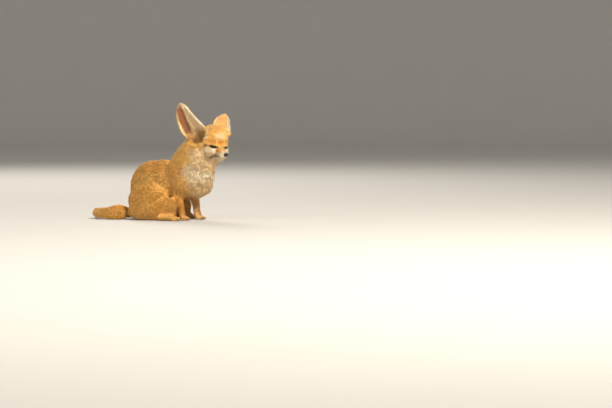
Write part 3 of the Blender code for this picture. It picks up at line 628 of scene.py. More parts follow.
def from_eyes(points):
    """The distance to the nearer eyeball's centre."""
    away = [np.linalg.norm(points - np.array(eye_frame(side).translation), axis=1) for _, side in SIDES]
    return np.minimum(*away)


def from_nose(points):
    """How many noses wide a point is from the nose's middle."""
    return np.linalg.norm((to_frame(HEAD, points) - np.array(NOSE_AT)) / np.array(NOSE_RADII), axis=1)


def bareness(points, off_eye, off_nose):
    """0 on the sockets' walls and in the nose's pocket, and 1 from so far off the eyes and noses away from the nose."""
    off_eye += EYE_RADIUS
    return step(from_eyes(points), off_eye, off_eye + 0.0014) * step(from_nose(points), off_nose, off_nose + 0.20)


def ear_places(points, normals, parts):
    """For each point: how much it is an ear's, how far it looks into the cup, its height there and place across."""
    share, cup, height, across = np.zeros((4, len(points)))
    for name, ear in EARS.items():
        up, out, off = ear.cup(points)
        wall = (1 - step(np.abs(off - 0.001), 0.0035, 0.0060)) * (1 - step(np.abs(out), 1.10, 1.30))
        wall *= step(up, -0.30, -0.12) * (1 - step(up, 1.1, 1.2)) * (parts == FLESH.index("head"))
        mine = np.where(parts == FLESH.index("ear_" + name), 1.0, wall)
        found = ((cup, step(normals @ ear.mouth, -0.05, 0.35)), (height, up), (across, out))
        for values, new in found:
            values[mine > share] = new[mine > share]
        share = np.maximum(share, mine)
    return share, cup, height, across


def ear_marks(points, normals, parts):
    """On the ears: how bare, dark and pale they are, with painted shade in the cup's fold, pouch and floor, and how
    near their rims.
    """
    share, cup, up, out = ear_places(points, normals, parts)
    edge = np.maximum(0.14 - 1.25 * (up - 0.40), -0.30)
    middle = step(up, 0.08, 0.25) * (1 - step(up, 0.88, 0.98))
    bare = cup * step(out, edge - 0.16, edge + 0.12) * (1 - step(out, 0.84, 0.98)) * middle
    # Painted shade: the crease where the bare band meets the cup's hair is painted dark.
    fold_shade = cup * np.exp(-((out - edge - 0.10) / 0.22) ** 2) * middle * 0.65
    # Painted shade: the floor of the cup, deep in the ear, is painted dark and less pale.
    floor = cup * (1 - step(up, -0.02, 0.12))
    # Painted shade: the pouch low on the outer rim is painted dark.
    pouch_shade = np.exp(-((up - 0.28) / 0.06) ** 2 - ((out - 0.84) / 0.13) ** 2) * 0.50
    pale = np.maximum.reduce((
        cup * step(-out, 0.60, 0.90), step(-out, 0.86, 0.97), step(out, 0.88, 0.98) * 0.35,
        step(up, 0.92, 0.99) * 0.85, cup * (1 - bare) * 0.62))
    # Painted shade: the pale fades out towards the bottom of the ear, most on its outer side.
    pale *= (1 - floor * 0.8) * step(up, -0.05, 0.18 + 0.30 * step(out, 0.0, 0.8))
    # Painted shade: the bottom of the cup takes the bare skin's brown, which also makes its hair sparse and short
    # there.
    bare = np.maximum(bare, cup * step(out, -0.75, -0.2) * (1 - step(up, 0.02, 0.30)) * 0.55)
    # The ears' dark is all painted shade: the fold, the cup's floor and the pouch.
    dark = np.maximum.reduce((fold_shade, floor * 0.35, pouch_shade))
    marks = {"bare": bare, "dark": dark, "pale": pale, "rim": step(np.abs(out), 0.84, 0.97), "cup": cup}
    marks = {name: values * share for name, values in marks.items()}
    return marks | {"share": share, "out": out, "foot": np.exp(-((up + 0.12) / 0.10) ** 2) * step(share, 0.0, 0.3)}


def spread_ears(points, normals, parts):
    """The points with the ears' rims moved out a little, which makes up for what smoothing takes off thin walls."""
    moved = points.copy()
    share = ear_places(points, normals, parts)[0]
    for ear in EARS.values():
        up, out, _ = ear.cup(points)
        mine = share * (np.abs(out) < 1.5) * (up > -0.4) * (up < 1.2)
        swell = np.exp(-((up - ear.swell[0]) / 0.24) ** 2) * step(out, 0.0, 1.0) * ear.swell[1]
        moved += np.outer((swell + np.clip(out, -1.1, 1.1) * 0.0003) * mine, ear.outward)
        moved -= np.outer(step(up, 0.5, 1.0) * mine * ear.drop, ear.axis)
        moved += np.outer(step(up, 0.55, 1.0) * mine * ear.lean, ear.outward)
    return moved


def coat_fields(points, normals, parts):
    """Depth, length, width, rise and number of tufts for each point, from its part of the body and its place."""
    fields = np.array([COATS[kind] for kind in KIND[parts]], float)
    x, _, z = folded(to_frame(HEAD, points)).T
    tail = to_frame(SHIFT, points)
    on_head, on_tail = on(parts, "head"), on(parts, "tail")
    off_eyes = from_eyes(points)
    ear = ear_marks(points, normals, parts)
    shares = {
        "cheek": on_head * step(-x, 0.008, 0.026) * step(-z, -0.012, 0.006),
        "throat": on_head * step(-z, 0.028, 0.040),
        "crown": on_head * step(-x, 0.000, 0.016) * step(z, 0.016, 0.034),
        "muzzle": on_head * step(x, 0.002, 0.014),
        "lids": on_head * (1 - step(off_eyes, 0.0115, 0.0190)),
        "nose": on_head * step(x, 0.020, 0.029),
        "tail_tip": on_tail * step(tail[:, 1], 0.080, 0.112),
        "ear": ear["share"],
        "ear_fringe": ear["cup"] * step(-ear["out"], -0.10, 0.30),
        "ear_bare": ear["cup"] * ear["bare"],
        "ear_rim": ear["rim"],
        "ear_foot": ear["foot"],
        "eye_rim": on_head * (1 - step(off_eyes, EYE_RADIUS + 0.0015, EYE_RADIUS + 0.0040)),
        "foreleg_top": on(parts, "foreleg") * step(points[:, 2], 0.040, 0.058),
        "tail_stump": on_tail * (1 - step(-tail[:, 0], 0.112, 0.150)),
    }
    for place, share in shares.items():
        fields += (np.array(PLACE_COATS[place]) - fields) * share[:, None]
    return fields


def lie_field(points, normals, parts):
    """The way that the hair lies on the skin at each point."""
    guides = []
    for matrix, pairs in ((HEAD, HEAD_LIE), (BODY, BODY_LIE)):
        for place, way in pairs:
            for side in (1, -1) if place[1] else (1,):
                flip = Vector((1, side, 1))
                guides.append((matrix @ (Vector(place) * flip), (matrix.to_3x3() @ (Vector(way) * flip)).normalized()))
    line = [SHIFT @ Vector(place) for place, _ in TAIL_LINE]
    guides += [((a + b) / 2, (b - a).normalized()) for a, b in zip(line[1:], line[2:])]
    total = np.zeros_like(points)
    for place, way in guides:
        away = ((points - np.array(place)) ** 2).sum(1)
        total += np.array(way) / (away + 0.008 ** 2)[:, None] ** 2
    total = unit(total)
    marks = ear_marks(points, normals, parts)
    for ear in EARS.values():
        up, out, _ = ear.cup(points)
        out = np.clip(out, -1.1, 1.1)
        mine = marks["share"] * (np.abs(ear.place(points)[1]) < 0.035) * (up > -0.4) * (up < 1.3)
        back = ear.axis + np.outer(out * 0.5, ear.outward)
        cup = np.outer(np.clip(up, 0, 1) - 0.15, ear.axis) + ear.outward * 0.8
        rim = ear.axis * 0.75 + np.outer(np.sign(out) * 0.75, ear.outward)
        way = np.where((marks["cup"] > 0.5)[:, None], cup, back)
        way += (rim - way) * marks["rim"][:, None]
        total += (unit(way) - total) * mine[:, None]
    total -= normals * (total * normals).sum(1)[:, None]
    return unit(total)


def eye_marks(points, head):
    """The dark rims of the lids, and the lines that run on from each eye's two corners."""
    dark = marked(head, EYE_LINES)
    for _, side in SIDES:
        ex, ey, ez = to_frame(eye_frame(side), points).T
        slit = np.hypot(ey / (SLIT_HALF[0] * RIM_WIDER[0]), ez / (SLIT_HALF[1] * RIM_WIDER[1]))
        dark = np.maximum(dark, (1 - step(slit, 0.80, 1.10)) * step(ex, 0.0, 0.004))
    return dark


def face_marks(points, head):
    """How pale, rusty and dark the face is at each point, from its place in the head's folded frame."""
    x, y, z = head.T
    cheek = step(0.25 * x - z, -0.001, 0.010) * step(y, 0.006, 0.013) * step(x, -0.046, -0.022)
    pale = np.maximum.reduce((
        marked(head, PALE_LINES, PALE_OVALS),
        cheek * 0.58,
        step(x, 0.004, 0.012) * step(-z, 0.003, 0.010),
        step(x, 0.010, 0.018) * (1 - step(y, 0.004, 0.009)) * 0.35,
        step(-z, 0.020, 0.026) * step(x, -0.05, -0.03) * 0.55))
    pale *= 1 - near(head, *BRIDGE_PATCH)
    rust = np.maximum(marked(head, (), RUST_OVALS), step(z, 0.004, 0.020) * 0.20)
    dark = np.maximum(eye_marks(points, head), marked(head, DARK_LINES, DARK_OVALS))
    return pale, rust, dark


def markings(points, normals, parts):
    """How pale, rusty, dark and bare the coat and skin are at each point."""
    on_head, on_neck, on_torso, on_tail, on_thigh = (
        on(parts, kind) for kind in ("head", "neck", "torso", "tail", "thigh"))
    on_foreleg, on_foot = on(parts, "foreleg", "forepaw"), on(parts, "forepaw", "hindfoot")
    ear = ear_marks(points, normals, parts)
    pale_face, rust_face, dark_face = (
        mask * on_head * (1 - ear["share"]) for mask in face_marks(points, folded(to_frame(HEAD, points))))
    bx, by, bz = folded(to_frame(BODY, points)).T
    tail = to_frame(SHIFT, points)
    wave = wander(points, 0.03, 3)

    # The bib is real cream, and only half as pale low on the chest: painted shade of the lower chest.
    bib = (on_neck + on_torso) * step(bx + 0.35 * bz, 0.084, 0.108) * (0.50 + 0.50 * step(bz, 0.080, 0.115))
    bib *= step(0.64 * (bx - 0.06) - 0.77 * (bz - 0.12), -0.018, -0.005)
    belly = on_torso * (1 - step(bz, 0.040, 0.062)) * (1 - step(by, 0.030, 0.045)) * step(bx, -0.06, -0.03) * 0.8
    knee = on_thigh * step(bx - 0.1 * bz, 0.026, 0.036) * step(bz, 0.014, 0.024) * 0.65
    inner_leg = on_foreleg * step(0.022 - by, 0.0, 0.006) * 0.35
    pale = np.maximum.reduce((
        pale_face, ear["pale"], bib + 0.12 * wave * bib, belly, knee, inner_leg, on_foot * 0.10))

    back = on_torso * step(bz, 0.095, 0.135) * 0.35
    ear_back = ear["share"] * (1 - ear["cup"]) * (0.35 + 0.30 * wave)
    rust = np.maximum.reduce((
        rust_face, ear_back, back, on_thigh * 0.25, on_foreleg * 0.55, on_foot * 0.35, on_tail * 0.30))
    spots = step(wander(points, 0.013, 5), -0.1, 0.7) * (on_torso + on_tail + on_thigh * 0.8)
    rust = rust + 0.25 * np.maximum(wave, 0) * (on_torso + on_tail + on_thigh) + 0.45 * spots

    tip = on_tail * step(tail[:, 1] + 0.003 * wave, 0.094, 0.104) * 0.97
    gland = on_tail * near(tail, *GLAND_SPOT) * 0.12
    # The ears' dark is painted shade in their cups, and their bare carries some painted shade at the cups' bottoms.
    dark = np.maximum.reduce((dark_face, ear["dark"], tip, gland, spots * (1 - pale) * 0.16))
    marks = {"pale": pale, "rust": rust, "dark": dark, "bare": ear["bare"]}
    return {name: np.clip(values, 0, 1) for name, values in marks.items()}


def shagginess(net, parts):
    """1 where the solids carry locks, whose lumps are smoothed away under the coat, and 0 elsewhere."""
    x, _, z = to_frame(HEAD, net.points).T
    ruff = on(parts, "head") * step(-x, 0.004, 0.018) * step(-z, -0.014, 0.0)
    bib = on(parts, "torso") * step(to_frame(BODY, net.points)[:, 0], 0.060, 0.080)
    return net.smooth(np.maximum.reduce((on(parts, "tail", "neck"), ruff, bib)), 12)


def softness(points, parts):
    """How far the markings blur at each point: fully on the body, and not on the face and ears."""
    x = to_frame(HEAD, points)[:, 0]
    kinds = KIND[parts]
    return np.where(kinds == "head", 0.8 * step(-x, 0.015, 0.030), np.where(kinds == "ear", 0.0, 1.0))


def build_skin():
    """One skin for all the flesh, under the coat, with the fields that the coat grows by."""
    skin = melted_flesh()
    mesh = skin.data
    net = Net(mesh)
    parts = nodes_under(net.points)
    thin = net.smooth(ear_places(net.points, net.normals, parts)[0], 2)
    points = net.ease(net.points, SKIN_ROUNDS, 1 - 0.7 * thin)
    points = net.ease(points, LOCK_ROUNDS, shagginess(net, parts) * (1 - thin))
    place_points(mesh, spread_ears(points, net.normals, parts))
    net = Net(mesh)
    fields = net.smooth(coat_fields(net.points, net.normals, parts), 8)
    lie = net.smooth(lie_field(net.points, net.normals, parts), 3)
    clear = bareness(net.points, 0.0008, 1.25)
    sunk = net.points - net.smooth(net.normals, 2) * ((fields[:, 0] * clear + PUFF) * (1 - 0.8 * thin))[:, None]
    sunk = net.ease(sunk, 3, 1 - thin)
    sunk[:, 2] = np.maximum(sunk[:, 2], FLOOR_GAP)
    place_points(mesh, sunk)
    soft = softness(sunk, parts)
    marks = {name: net.smooth(values, MARK_ROUNDS, soft) for name, values in markings(sunk, net.normals, parts).items()}
    under = Net(mesh)
    hollow = ((under.smooth(under.points, 8) - under.points) * under.normals).sum(1)
    fields[:, 3] += np.where(KIND[parts] == "head", *HOLLOW_RISES) * step(hollow, *HOLLOW_DEPTHS)
    fields[:, 4] *= bareness(net.points, 0.0001, 0.98) * (1 - 0.5 * marks["bare"])
    for name, values in zip(("length", "width", "rise", "count"), fields.T[1:]):
        set_field(mesh, "hair_" + name, values)
    for name, values in marks.items():
        set_field(mesh, name, values)
    set_field(mesh, "along", np.full(len(sunk), 0.45))
    set_field(mesh, "shade", 0.5 + 0.25 * wander(sunk, 0.012, 9))
    set_field(mesh, "part", parts)
    set_field(mesh, "lie", unit(lie), "FLOAT_VECTOR")
    return skin


def spread_roots(mesh, wanted):
    """Places for about that many tufts, as triangles of the skin and weights of their corners."""
    mesh.calc_loop_triangles()
    corners = column(mesh.loop_triangles, "vertices", 3, np.int32)
    points = column(mesh.vertices, "co", 3).astype(float)
    a, b, c = (points[corners[:, k]] for k in range(3))
    areas = np.linalg.norm(np.cross(b - a, c - a), axis=1) / 2
    crowd = areas * 1e4 * get_field(mesh, "hair_count")[corners].mean(1)
    total = np.cumsum(crowd)
    random = np.random.default_rng(RANDOM_SEED)
    marks = (np.arange(wanted) + random.uniform(0, 1, wanted)) / wanted * total[-1]
    chosen = np.minimum(np.searchsorted(total, marks), len(corners) - 1)
    u, v = random.uniform(0, 1, (2, wanted))
    over = u + v > 1
    u, v = np.where(over, 1 - u, u), np.where(over, 1 - v, v)
    return corners[chosen], np.stack((1 - u - v, u, v), 1)


def clump_pull(roots, tips, size, seed):
    """For each tuft, the way from its tip to the tip of the tuft at the middle of its clump."""
    middles = np.random.default_rng(seed).permutation(len(roots))[::size]
    tree = KDTree(len(middles))
    for k, index in enumerate(middles):
        tree.insert(Vector(roots[index]), k)
    tree.balance()
    nearest = np.array([tree.find(Vector(root))[1] for root in roots])
    return tips[middles[nearest]] - tips


def tuft_points(roots, normals, lies, lengths, widths, rises, pull, rings):
    """The points of bent, flattened, pointed tufts: three at each ring and one at the tip."""
    rise = rises[:, None]
    first = lies * np.cos(rise) + normals * np.sin(rise)
    last = lies * np.cos(rise * TIP_RISE) + normals * np.sin(rise * TIP_RISE)
    start = roots - normals * np.minimum(lengths * ROOT_SINK[0], ROOT_SINK[1])[:, None]
    middle = start + first * lengths[:, None] * 0.5 + pull * 0.3
    tip = start + (first + last) * lengths[:, None] * 0.5 + pull
    made = []
    for place, width in rings:
        centre = start * (1 - place) ** 2 + middle * 2 * place * (1 - place) + tip * place ** 2
        along = unit((middle - start) * (1 - place) + (tip - middle) * place)
        side = unit(np.cross(normals, along)) * (widths * width / 2)[:, None]
        above = np.cross(along, side) * TUFT_FLATNESS
        made += [centre - side, centre + side, centre + above]
    made.append(tip)
    return np.stack(made, 1)


def tuft_faces(rings):
    """The triangles of one tuft, pointing outwards, as numbers of its points."""
    faces = [(0, 1, 2)]
    for ring in range(rings - 1):
        for k in range(3):
            a, b = ring * 3 + k, ring * 3 + (k + 1) % 3
            faces += [(a, a + 3, b + 3), (a, b + 3, b)]
    last = (rings - 1) * 3
    faces += [(last + k, rings * 3, last + (k + 1) % 3) for k in range(3)]
    return np.array(faces)


def beyond(points, side, end, slack=0.0):
    """True where points lie on a piece's own side and end of the body."""
    x, y, _ = to_frame(BODY, points).T
    return (y * side >= -slack) & ((x - BACK_MIDDLE) * end >= -slack)


def unwrap_of(mesh, parts_wanted, side, end):
    """An unwrap of the skin's own shape under one piece of coat: each triangle's corners and their UVs."""
    bm = bmesh.new()
    bm.from_mesh(mesh)
    layer = bm.verts.layers.float.get("part")
    middles = np.array([face.calc_center_median() for face in bm.faces])
    mine = beyond(middles, side, end, 0.003)
    wrong = [face for face, own in zip(bm.faces, mine)
             if not own or all(int(vert[layer]) not in parts_wanted for vert in face.verts)]
    bmesh.ops.delete(bm, geom=wrong, context="FACES")
    proxy = object_from("unwrap", bm)
    thin = proxy.modifiers.new("Thin", "DECIMATE")
    thin.ratio = min(1.0, UNWRAP_FACES / max(len(proxy.data.polygons), 1))
    thinned = applied(proxy)
    proxy.modifiers.clear()
    proxy.data = thinned
    bpy.context.view_layer.objects.active = proxy
    proxy.select_set(True)
    bpy.ops.object.mode_set(mode="EDIT")
    bpy.ops.mesh.select_all(action="SELECT")
    bpy.ops.uv.smart_project(angle_limit=math.radians(66), island_margin=0.01)
    bpy.ops.object.mode_set(mode="OBJECT")
    flattened = proxy.data
    flattened.calc_loop_triangles()
    corners = column(flattened.loop_triangles, "vertices", 3, np.int32)
    loops = column(flattened.loop_triangles, "loops", 3, np.int32)
    points = column(flattened.vertices, "co", 3).astype(float)
    flat = column(flattened.uv_layers.active.data, "uv", 2).astype(float)
    bpy.data.objects.remove(proxy)
    return points[corners], flat[loops]


def place_on_unwrap(roots, triangles, flat):
    """Each root's place on the unwrap."""
    numbers = np.arange(len(triangles) * 3).reshape(-1, 3)
    tree = BVHTree.FromPolygons(triangles.reshape(-1, 3).tolist(), numbers.tolist())
    made = np.empty((len(roots), 2))
    for k, root in enumerate(roots):
        spot, _, face, _ = tree.find_nearest(Vector(root))
        corners = [Vector(corner) for corner in triangles[face]]
        uvs = [Vector((*uv, 0)) for uv in flat[face]]
        made[k] = barycentric_transform(spot, *corners, *uvs).xy
    return made


def build_tufts(name, points, faces, fields, uvs):
    """One mesh of many tufts, with what they carry for their colour and each tuft's patch of the unwrap."""
    count, size = points.shape[:2]
    triangles = (faces[None] + np.arange(count)[:, None, None] * size).reshape(-1, 3)
    mesh = bpy.data.meshes.new(name)
    mesh.vertices.add(count * size)
    mesh.loops.add(len(triangles) * 3)
    mesh.polygons.add(len(triangles))
    mesh.vertices.foreach_set("co", points.astype(np.float32).ravel())
    mesh.loops.foreach_set("vertex_index", triangles.astype(np.int32).ravel())
    mesh.polygons.foreach_set("loop_start", np.arange(0, len(triangles) * 3, 3, dtype=np.int32))
    mesh.update(calc_edges=True)
    for field, values in fields.items():
        set_field(mesh, field, values)
    layer = mesh.uv_layers.new(name="OFBake")
    layer.data.foreach_set("uv", uvs.reshape(-1, 2)[triangles.ravel()].astype(np.float32).ravel())
    return mesh


def grow(roots, picked, rings):
    """The points of the picked tufts, all with the same rings, their faces, what they carry and their patches."""
    fields = {key: values[picked] for key, values in roots.items()}
    points = tuft_points(
        fields["root"], fields["normal"], fields["lie"], fields["length"], fields["width"], fields["rise"],
        fields["pull"], rings)
    points[:, :, 2] = np.maximum(points[:, :, 2], FLOOR_GAP)
    size = points.shape[1]
    places = np.array([place for place, _ in rings for _ in range(3)] + [1.0])
    carried = {key: np.repeat(fields[key], size) for key in ("pale", "rust", "dark", "bare", "shade")}
    carried["along"] = np.tile(places, len(points))
    carried["dark"] = np.clip(carried["dark"] + np.outer(fields["tipped"], places ** 2).ravel(), 0, 1)
    across = np.array([(-0.5, 0.5, 0.0)[k % 3] for k in range(size - 1)] + [0.0])
    patch = np.stack((across, places - 0.5), 1) * PATCH
    uvs = fields["uv"][:, None] + patch[None]
    return points, tuft_faces(len(rings)), carried, uvs


def tuft_fields(mesh, tufts):
    """Everything that each tuft of the coat needs: its root, its lie, its sizes and its markings, painted shade among
    them.
    """
    random = np.random.default_rng(RANDOM_SEED + 1)
    corners, weights = spread_roots(mesh, tufts)

    def at_root(values):
        picked = values[corners]
        return (picked * (weights[:, :, None] if picked.ndim == 3 else weights)).sum(1)

    net = Net(mesh)
    roots = {"root": at_root(net.points), "normal": unit(at_root(net.normals))}
    lie = unit(at_root(get_field(mesh, "lie", 3)))
    side = np.cross(roots["normal"], lie)
    swing = random.normal(0, LIE_SPREAD[0], tufts) + LIE_SPREAD[1] * wander(roots["root"], 0.022, 21)
    roots["lie"] = unit(lie * np.cos(swing)[:, None] + side * np.sin(swing)[:, None])
    length = at_root(get_field(mesh, "hair_length"))
    roots["length"] = length * random.uniform(*LENGTH_SPREAD, tufts)
    roots["width"] = at_root(get_field(mesh, "hair_width")) * random.uniform(*SIZE_SPREAD, tufts)
    roots["rise"] = np.radians(at_root(get_field(mesh, "hair_rise"))) * random.uniform(*SIZE_SPREAD, tufts)
    for name in ("pale", "rust", "dark", "bare"):
        roots[name] = at_root(get_field(mesh, name))
    shade = 0.5 + random.normal(0, SHADE_SPREAD[0], tufts) + SHADE_SPREAD[1] * wander(roots["root"], 0.011, 9)
    roots["shade"] = np.clip(shade, 0, 1)
    shaggy = step(length, 0.009, 0.013) * (1 - roots["pale"]) ** 3
    tipped = random.uniform(0, 1, tufts) < TIPPED_SHARE
    roots["tipped"] = np.where(tipped, random.uniform(*TIP_DARKNESS, tufts), 0.0) * shaggy
    roots["part"] = get_field(mesh, "part")[corners[:, 0]].astype(int)
    tips = roots["root"] + unit(roots["lie"] + roots["normal"] * 0.3) * roots["length"][:, None]
    pull = clump_pull(roots["root"], tips, CLUMP_SIZE, RANDOM_SEED + 2)
    reach = np.linalg.norm(pull, axis=1, keepdims=True)
    pull *= np.minimum(1.0, length[:, None] * CLUMP_REACH / np.maximum(reach, 1e-9)) * CLUMP_LEAN
    roots["pull"] = pull * step(length, 0.006, 0.010)[:, None]
    roots["uv"] = np.zeros((tufts, 2))
    return roots


def build_coat(mesh, tufts):
    """All the coat's pieces, as meshes of tufts by name."""
    roots = tuft_fields(mesh, tufts)
    length = roots["length"]
    forms = (
        (length < SPIKE_LENGTH, SPIKE_RINGS),
        ((length >= SPIKE_LENGTH) & (length <= LONG_TUFT), SHORT_RINGS),
        (length > LONG_TUFT, LONG_RINGS),
    )
    made = {}
    for name, _, nodes, side, end in COAT_PIECES:
        wanted = [FLESH.index(node) for node in nodes]
        mine = np.isin(roots["part"], wanted) & beyond(roots["root"], side, end)
        triangles, flat = unwrap_of(mesh, set(wanted), side, end)
        roots["uv"][mine] = place_on_unwrap(roots["root"][mine], triangles, flat)
        packs = [grow(roots, mine & form, rings) for form, rings in forms if (mine & form).any()]
        made[name] = joined(name, [build_tufts(name, *pack) for pack in packs])
    return made


def joined(name, meshes):
    """One mesh from several that carry the same fields."""
    bm = bmesh.new()
    for mesh in meshes:
        bm.from_mesh(mesh)
        bpy.data.meshes.remove(mesh)
    whole = bpy.data.meshes.new(name)
    bm.to_mesh(whole)
    bm.free()
    return whole


def strands(name, paths, sides, smooth=4, closed=False):
    """Round tapered strands as one mesh: each path is a list of places with a radius at each."""
    curve = bpy.data.curves.new(name, "CURVE")
    curve.dimensions = "3D"
    curve.bevel_depth = 1.0
    curve.bevel_resolution = sides
    curve.use_fill_caps = True
    curve.resolution_u = smooth
    for path in paths:
        spline = curve.splines.new("NURBS")
        spline.points.add(len(path) - 1)
        spline.order_u = 4
        spline.use_endpoint_u = not closed
        spline.use_cyclic_u = closed
        for point, (place, radius) in zip(spline.points, path):
            point.co = (*place, 1)
            point.radius = radius
    holder = placed(name + "_path", curve)
    mesh = applied(holder)
    bpy.data.objects.remove(holder)
    bpy.data.curves.remove(curve)
    mesh.name = name
    return placed(name, mesh)


def finished_skin():
    """The skin, which the other pieces lie on or grow from."""
    skin = bpy.data.objects.get("skin")
    if skin is None:
        raise RuntimeError("make the skin first: the other pieces lie on it")
    return skin


def skin_surface():
    """The skin's surface, to find places on."""
    bm = bmesh.new()
    bm.from_mesh(finished_skin().data)
    surface = BVHTree.FromBMesh(bm)
    bm.free()
    return surface


def eyeball(name, side):
    """An eyeball with its poles along its gaze, and the distance from its axis kept on its points."""
    bm = bmesh.new()
    bmesh.ops.create_uvsphere(bm, u_segments=40, v_segments=28, radius=EYE_RADIUS - 0.0001)
    bmesh.ops.rotate(bm, verts=bm.verts, cent=(0, 0, 0), matrix=Matrix.Rotation(math.radians(90), 3, "Y"))
    eye = object_from(name, bm)
    points = column(eye.data.vertices, "co", 3).astype(float)
    off_axis = np.hypot(points[:, 1], points[:, 2]) / EYE_RADIUS
    set_field(eye.data, "gaze", np.where(points[:, 0] > 0, off_axis, 1.0))
    set_field(eye.data, "pupil", np.hypot(points[:, 1] / 0.55, points[:, 2]) / EYE_RADIUS)
    eye.data.transform(eye_frame(side))
    return eye


def lid_rims(surface):
    """Paths round the lids' edges, on the skin where it meets the eyes."""
    paths = []
    for _, side in SIDES:
        matrix = eye_frame(side)
        look = (matrix.to_3x3() @ Vector((1, 0, 0))).normalized()
        path = []
        for k in range(28):
            angle = math.tau * k / 28
            y, z = SLIT_HALF[0] * math.cos(angle), SLIT_HALF[1] * math.sin(angle) * 1.25
            ball = math.sqrt(max(EYE_RADIUS ** 2 - y ** 2 - z ** 2, 0.0))
            start = matrix @ Vector((0.030, y * 1.03, z))
            hit = surface.ray_cast(start, -look, 0.04)[0]
            on_skin = (matrix.inverted() @ hit).x if hit else 0.0
            place = matrix @ Vector((max(on_skin - 0.0003, ball), y, z))
            path.append((place, 0.00034 + 0.0003 * abs(math.cos(angle)) ** 3))
        paths.append(path)
    return paths


def nose_shape():
    """The bare nose pad, with two comma-shaped nostrils and the groove between them."""
    bm = bmesh.new()
    bmesh.ops.create_uvsphere(bm, u_segments=64, v_segments=48, radius=1.0)
    bmesh.ops.scale(bm, vec=NOSE_RADII, verts=bm.verts)
    bmesh.ops.translate(bm, vec=NOSE_AT, verts=bm.verts)
    for vert in bm.verts:
        for _, side in SIDES:
            away = vert.co - Vector((NOSTRIL_AT.x, NOSTRIL_AT.y * side, NOSTRIL_AT.z))
            away.z += 0.25 * abs(away.y)
            hole = math.exp(-((away.y / 0.0016) ** 2 + (away.z / 0.0011) ** 2))
            vert.co.x -= 0.0026 * hole if away.x > -0.004 else 0.0
            slot = math.exp(-(((vert.co.y * side - 0.0046) / 0.0015) ** 2 + ((away.z + 0.0004) / 0.0006) ** 2))
            vert.co.x -= 0.0012 * slot
        groove = math.exp(-(vert.co.y / 0.0005) ** 2) * (1 if vert.co.x > NOSE_AT.x else 0)
        vert.co.x -= 0.0006 * groove * min(1.0, max(0.0, (NOSE_AT.z + 0.001 - vert.co.z) / 0.003))
    bmesh.ops.transform(bm, matrix=HEAD, verts=bm.verts)
    bm.normal_update()
    return bm


def lip_paths(surface):
    """Paths along the mouth on both sides, sunk a little in the skin."""
    path = []
    line = [Vector((x, -y, z)) for x, y, z in reversed(MOUTH_LINE[1:])] + [Vector(place) for place in MOUTH_LINE]
    for k, place in enumerate(line):
        spot, normal, _, _ = surface.find_nearest(HEAD @ place)
        share = math.sin(math.pi * (k + 0.6) / (len(line) + 0.2))
        path.append((spot - normal * 0.0002, 0.0003 + 0.0004 * share))
    return [path]


def whisker_paths(surface, length, rows, random):
    """Paths of whiskers that sweep back and droop from the muzzle's pads, with two over each eye."""
    turned = HEAD.to_3x3()
    back = turned @ Vector((-0.20, 0, -0.30))
    paths = []
    for _, side in SIDES:
        flip = Vector((1, side, 1))
        starts = []
        for row in range(3):
            for k in range(rows):
                offset = Vector((-0.0024 * k - 0.0008 * row, 0.0010 * k, 0.0022 * (1 - row)))
                way = Vector((-0.80 + 0.30 * (rows - k) / rows, 0.62, 0.06 - 0.24 * row))
                starts.append((WHISKER_PAD + offset, way, 1.0))
        for place, way, share in (*starts, *BROW_WHISKERS):
            spot, normal, _, _ = surface.find_nearest(HEAD @ (Vector(place) * flip))
            way = (turned @ (Vector(way) * flip)).normalized()
            way = (way + normal * 0.25).normalized()
            reach = length * share * random.uniform(0.8, 1.1)
            paths.append([
                (spot - normal * 0.001 + way * reach * s + back * reach * s * s,
                 WHISKER_RADII[0] * (1 - s) + WHISKER_RADII[1])
                for s in (0.0, 0.25, 0.5, 0.75, 1.0)])
    return paths


def claw_paths():
    """Paths of the claws, curved down from the front of each toe."""
    paths = []
    for foot, middle in FEET.items():
        for side_name, side in SIDES:
            ahead = FOREFOOT_STEP[side_name] if foot == "forepaw" else 0.0
            for toe in range(4):
                across = (toe - 1.5) * TOE_SPREAD
                inner = 0.003 if toe in (1, 2) else 0.0
                front = Vector((middle.x + ahead + inner + TOE_RADII.x * 0.62, middle.y * side + across, CLAW_HEIGHT))
                paths.append([
                    (BODY @ (front + Vector((CLAW_LENGTH * share, 0, -drop))), radius)
                    for share, drop, radius in CLAW_FORM])
    return paths


def feed(tree, socket, value):
    """Links a socket to another one, or sets its own value."""
    if isinstance(value, bpy.types.NodeSocket):
        tree.links.new(value, socket)
    else:
        socket.default_value = value


def add_node(tree, kind, inputs=None, **settings):
    """A shader node with its settings made, and then its inputs fed by name or number."""
    node = tree.nodes.new("ShaderNode" + kind)
    for name, value in settings.items():
        setattr(node, name, value)
    for key, value in (inputs or {}).items():
        feed(tree, node.inputs[key], value)
    return node


def new_group(name, inputs, outputs):
    """A shader node group with its sockets: the group, what it is given and what it puts out."""
    group = bpy.data.node_groups.new(name, "ShaderNodeTree")
    for label, kind, value in inputs:
        socket = group.interface.new_socket(label, in_out="INPUT", socket_type=kind)
        socket.default_value = value
    for label, kind in outputs:
        group.interface.new_socket(label, in_out="OUTPUT", socket_type=kind)
    return group, group.nodes.new("NodeGroupInput").outputs, group.nodes.new("NodeGroupOutput").inputs


def math_node(tree, operation, *values):
    """The result of a sum of values and other nodes' outputs."""
    return add_node(tree, "Math", dict(enumerate(values)), operation=operation).outputs[0]


def mix_colour(tree, share, first, second):
    """The first colour where the share is 0, and the second where it is 1."""
    return add_node(tree, "Mix", {0: share, 6: first, 7: second}, data_type="RGBA").outputs[2]


def field_node(tree, name):
    """What the mesh's points carry under that name."""
    return add_node(tree, "Attribute", attribute_name=name).outputs["Fac"]


def object_place(tree):
    """The place on the piece, in its own coordinates."""
    return add_node(tree, "TexCoord").outputs["Object"]


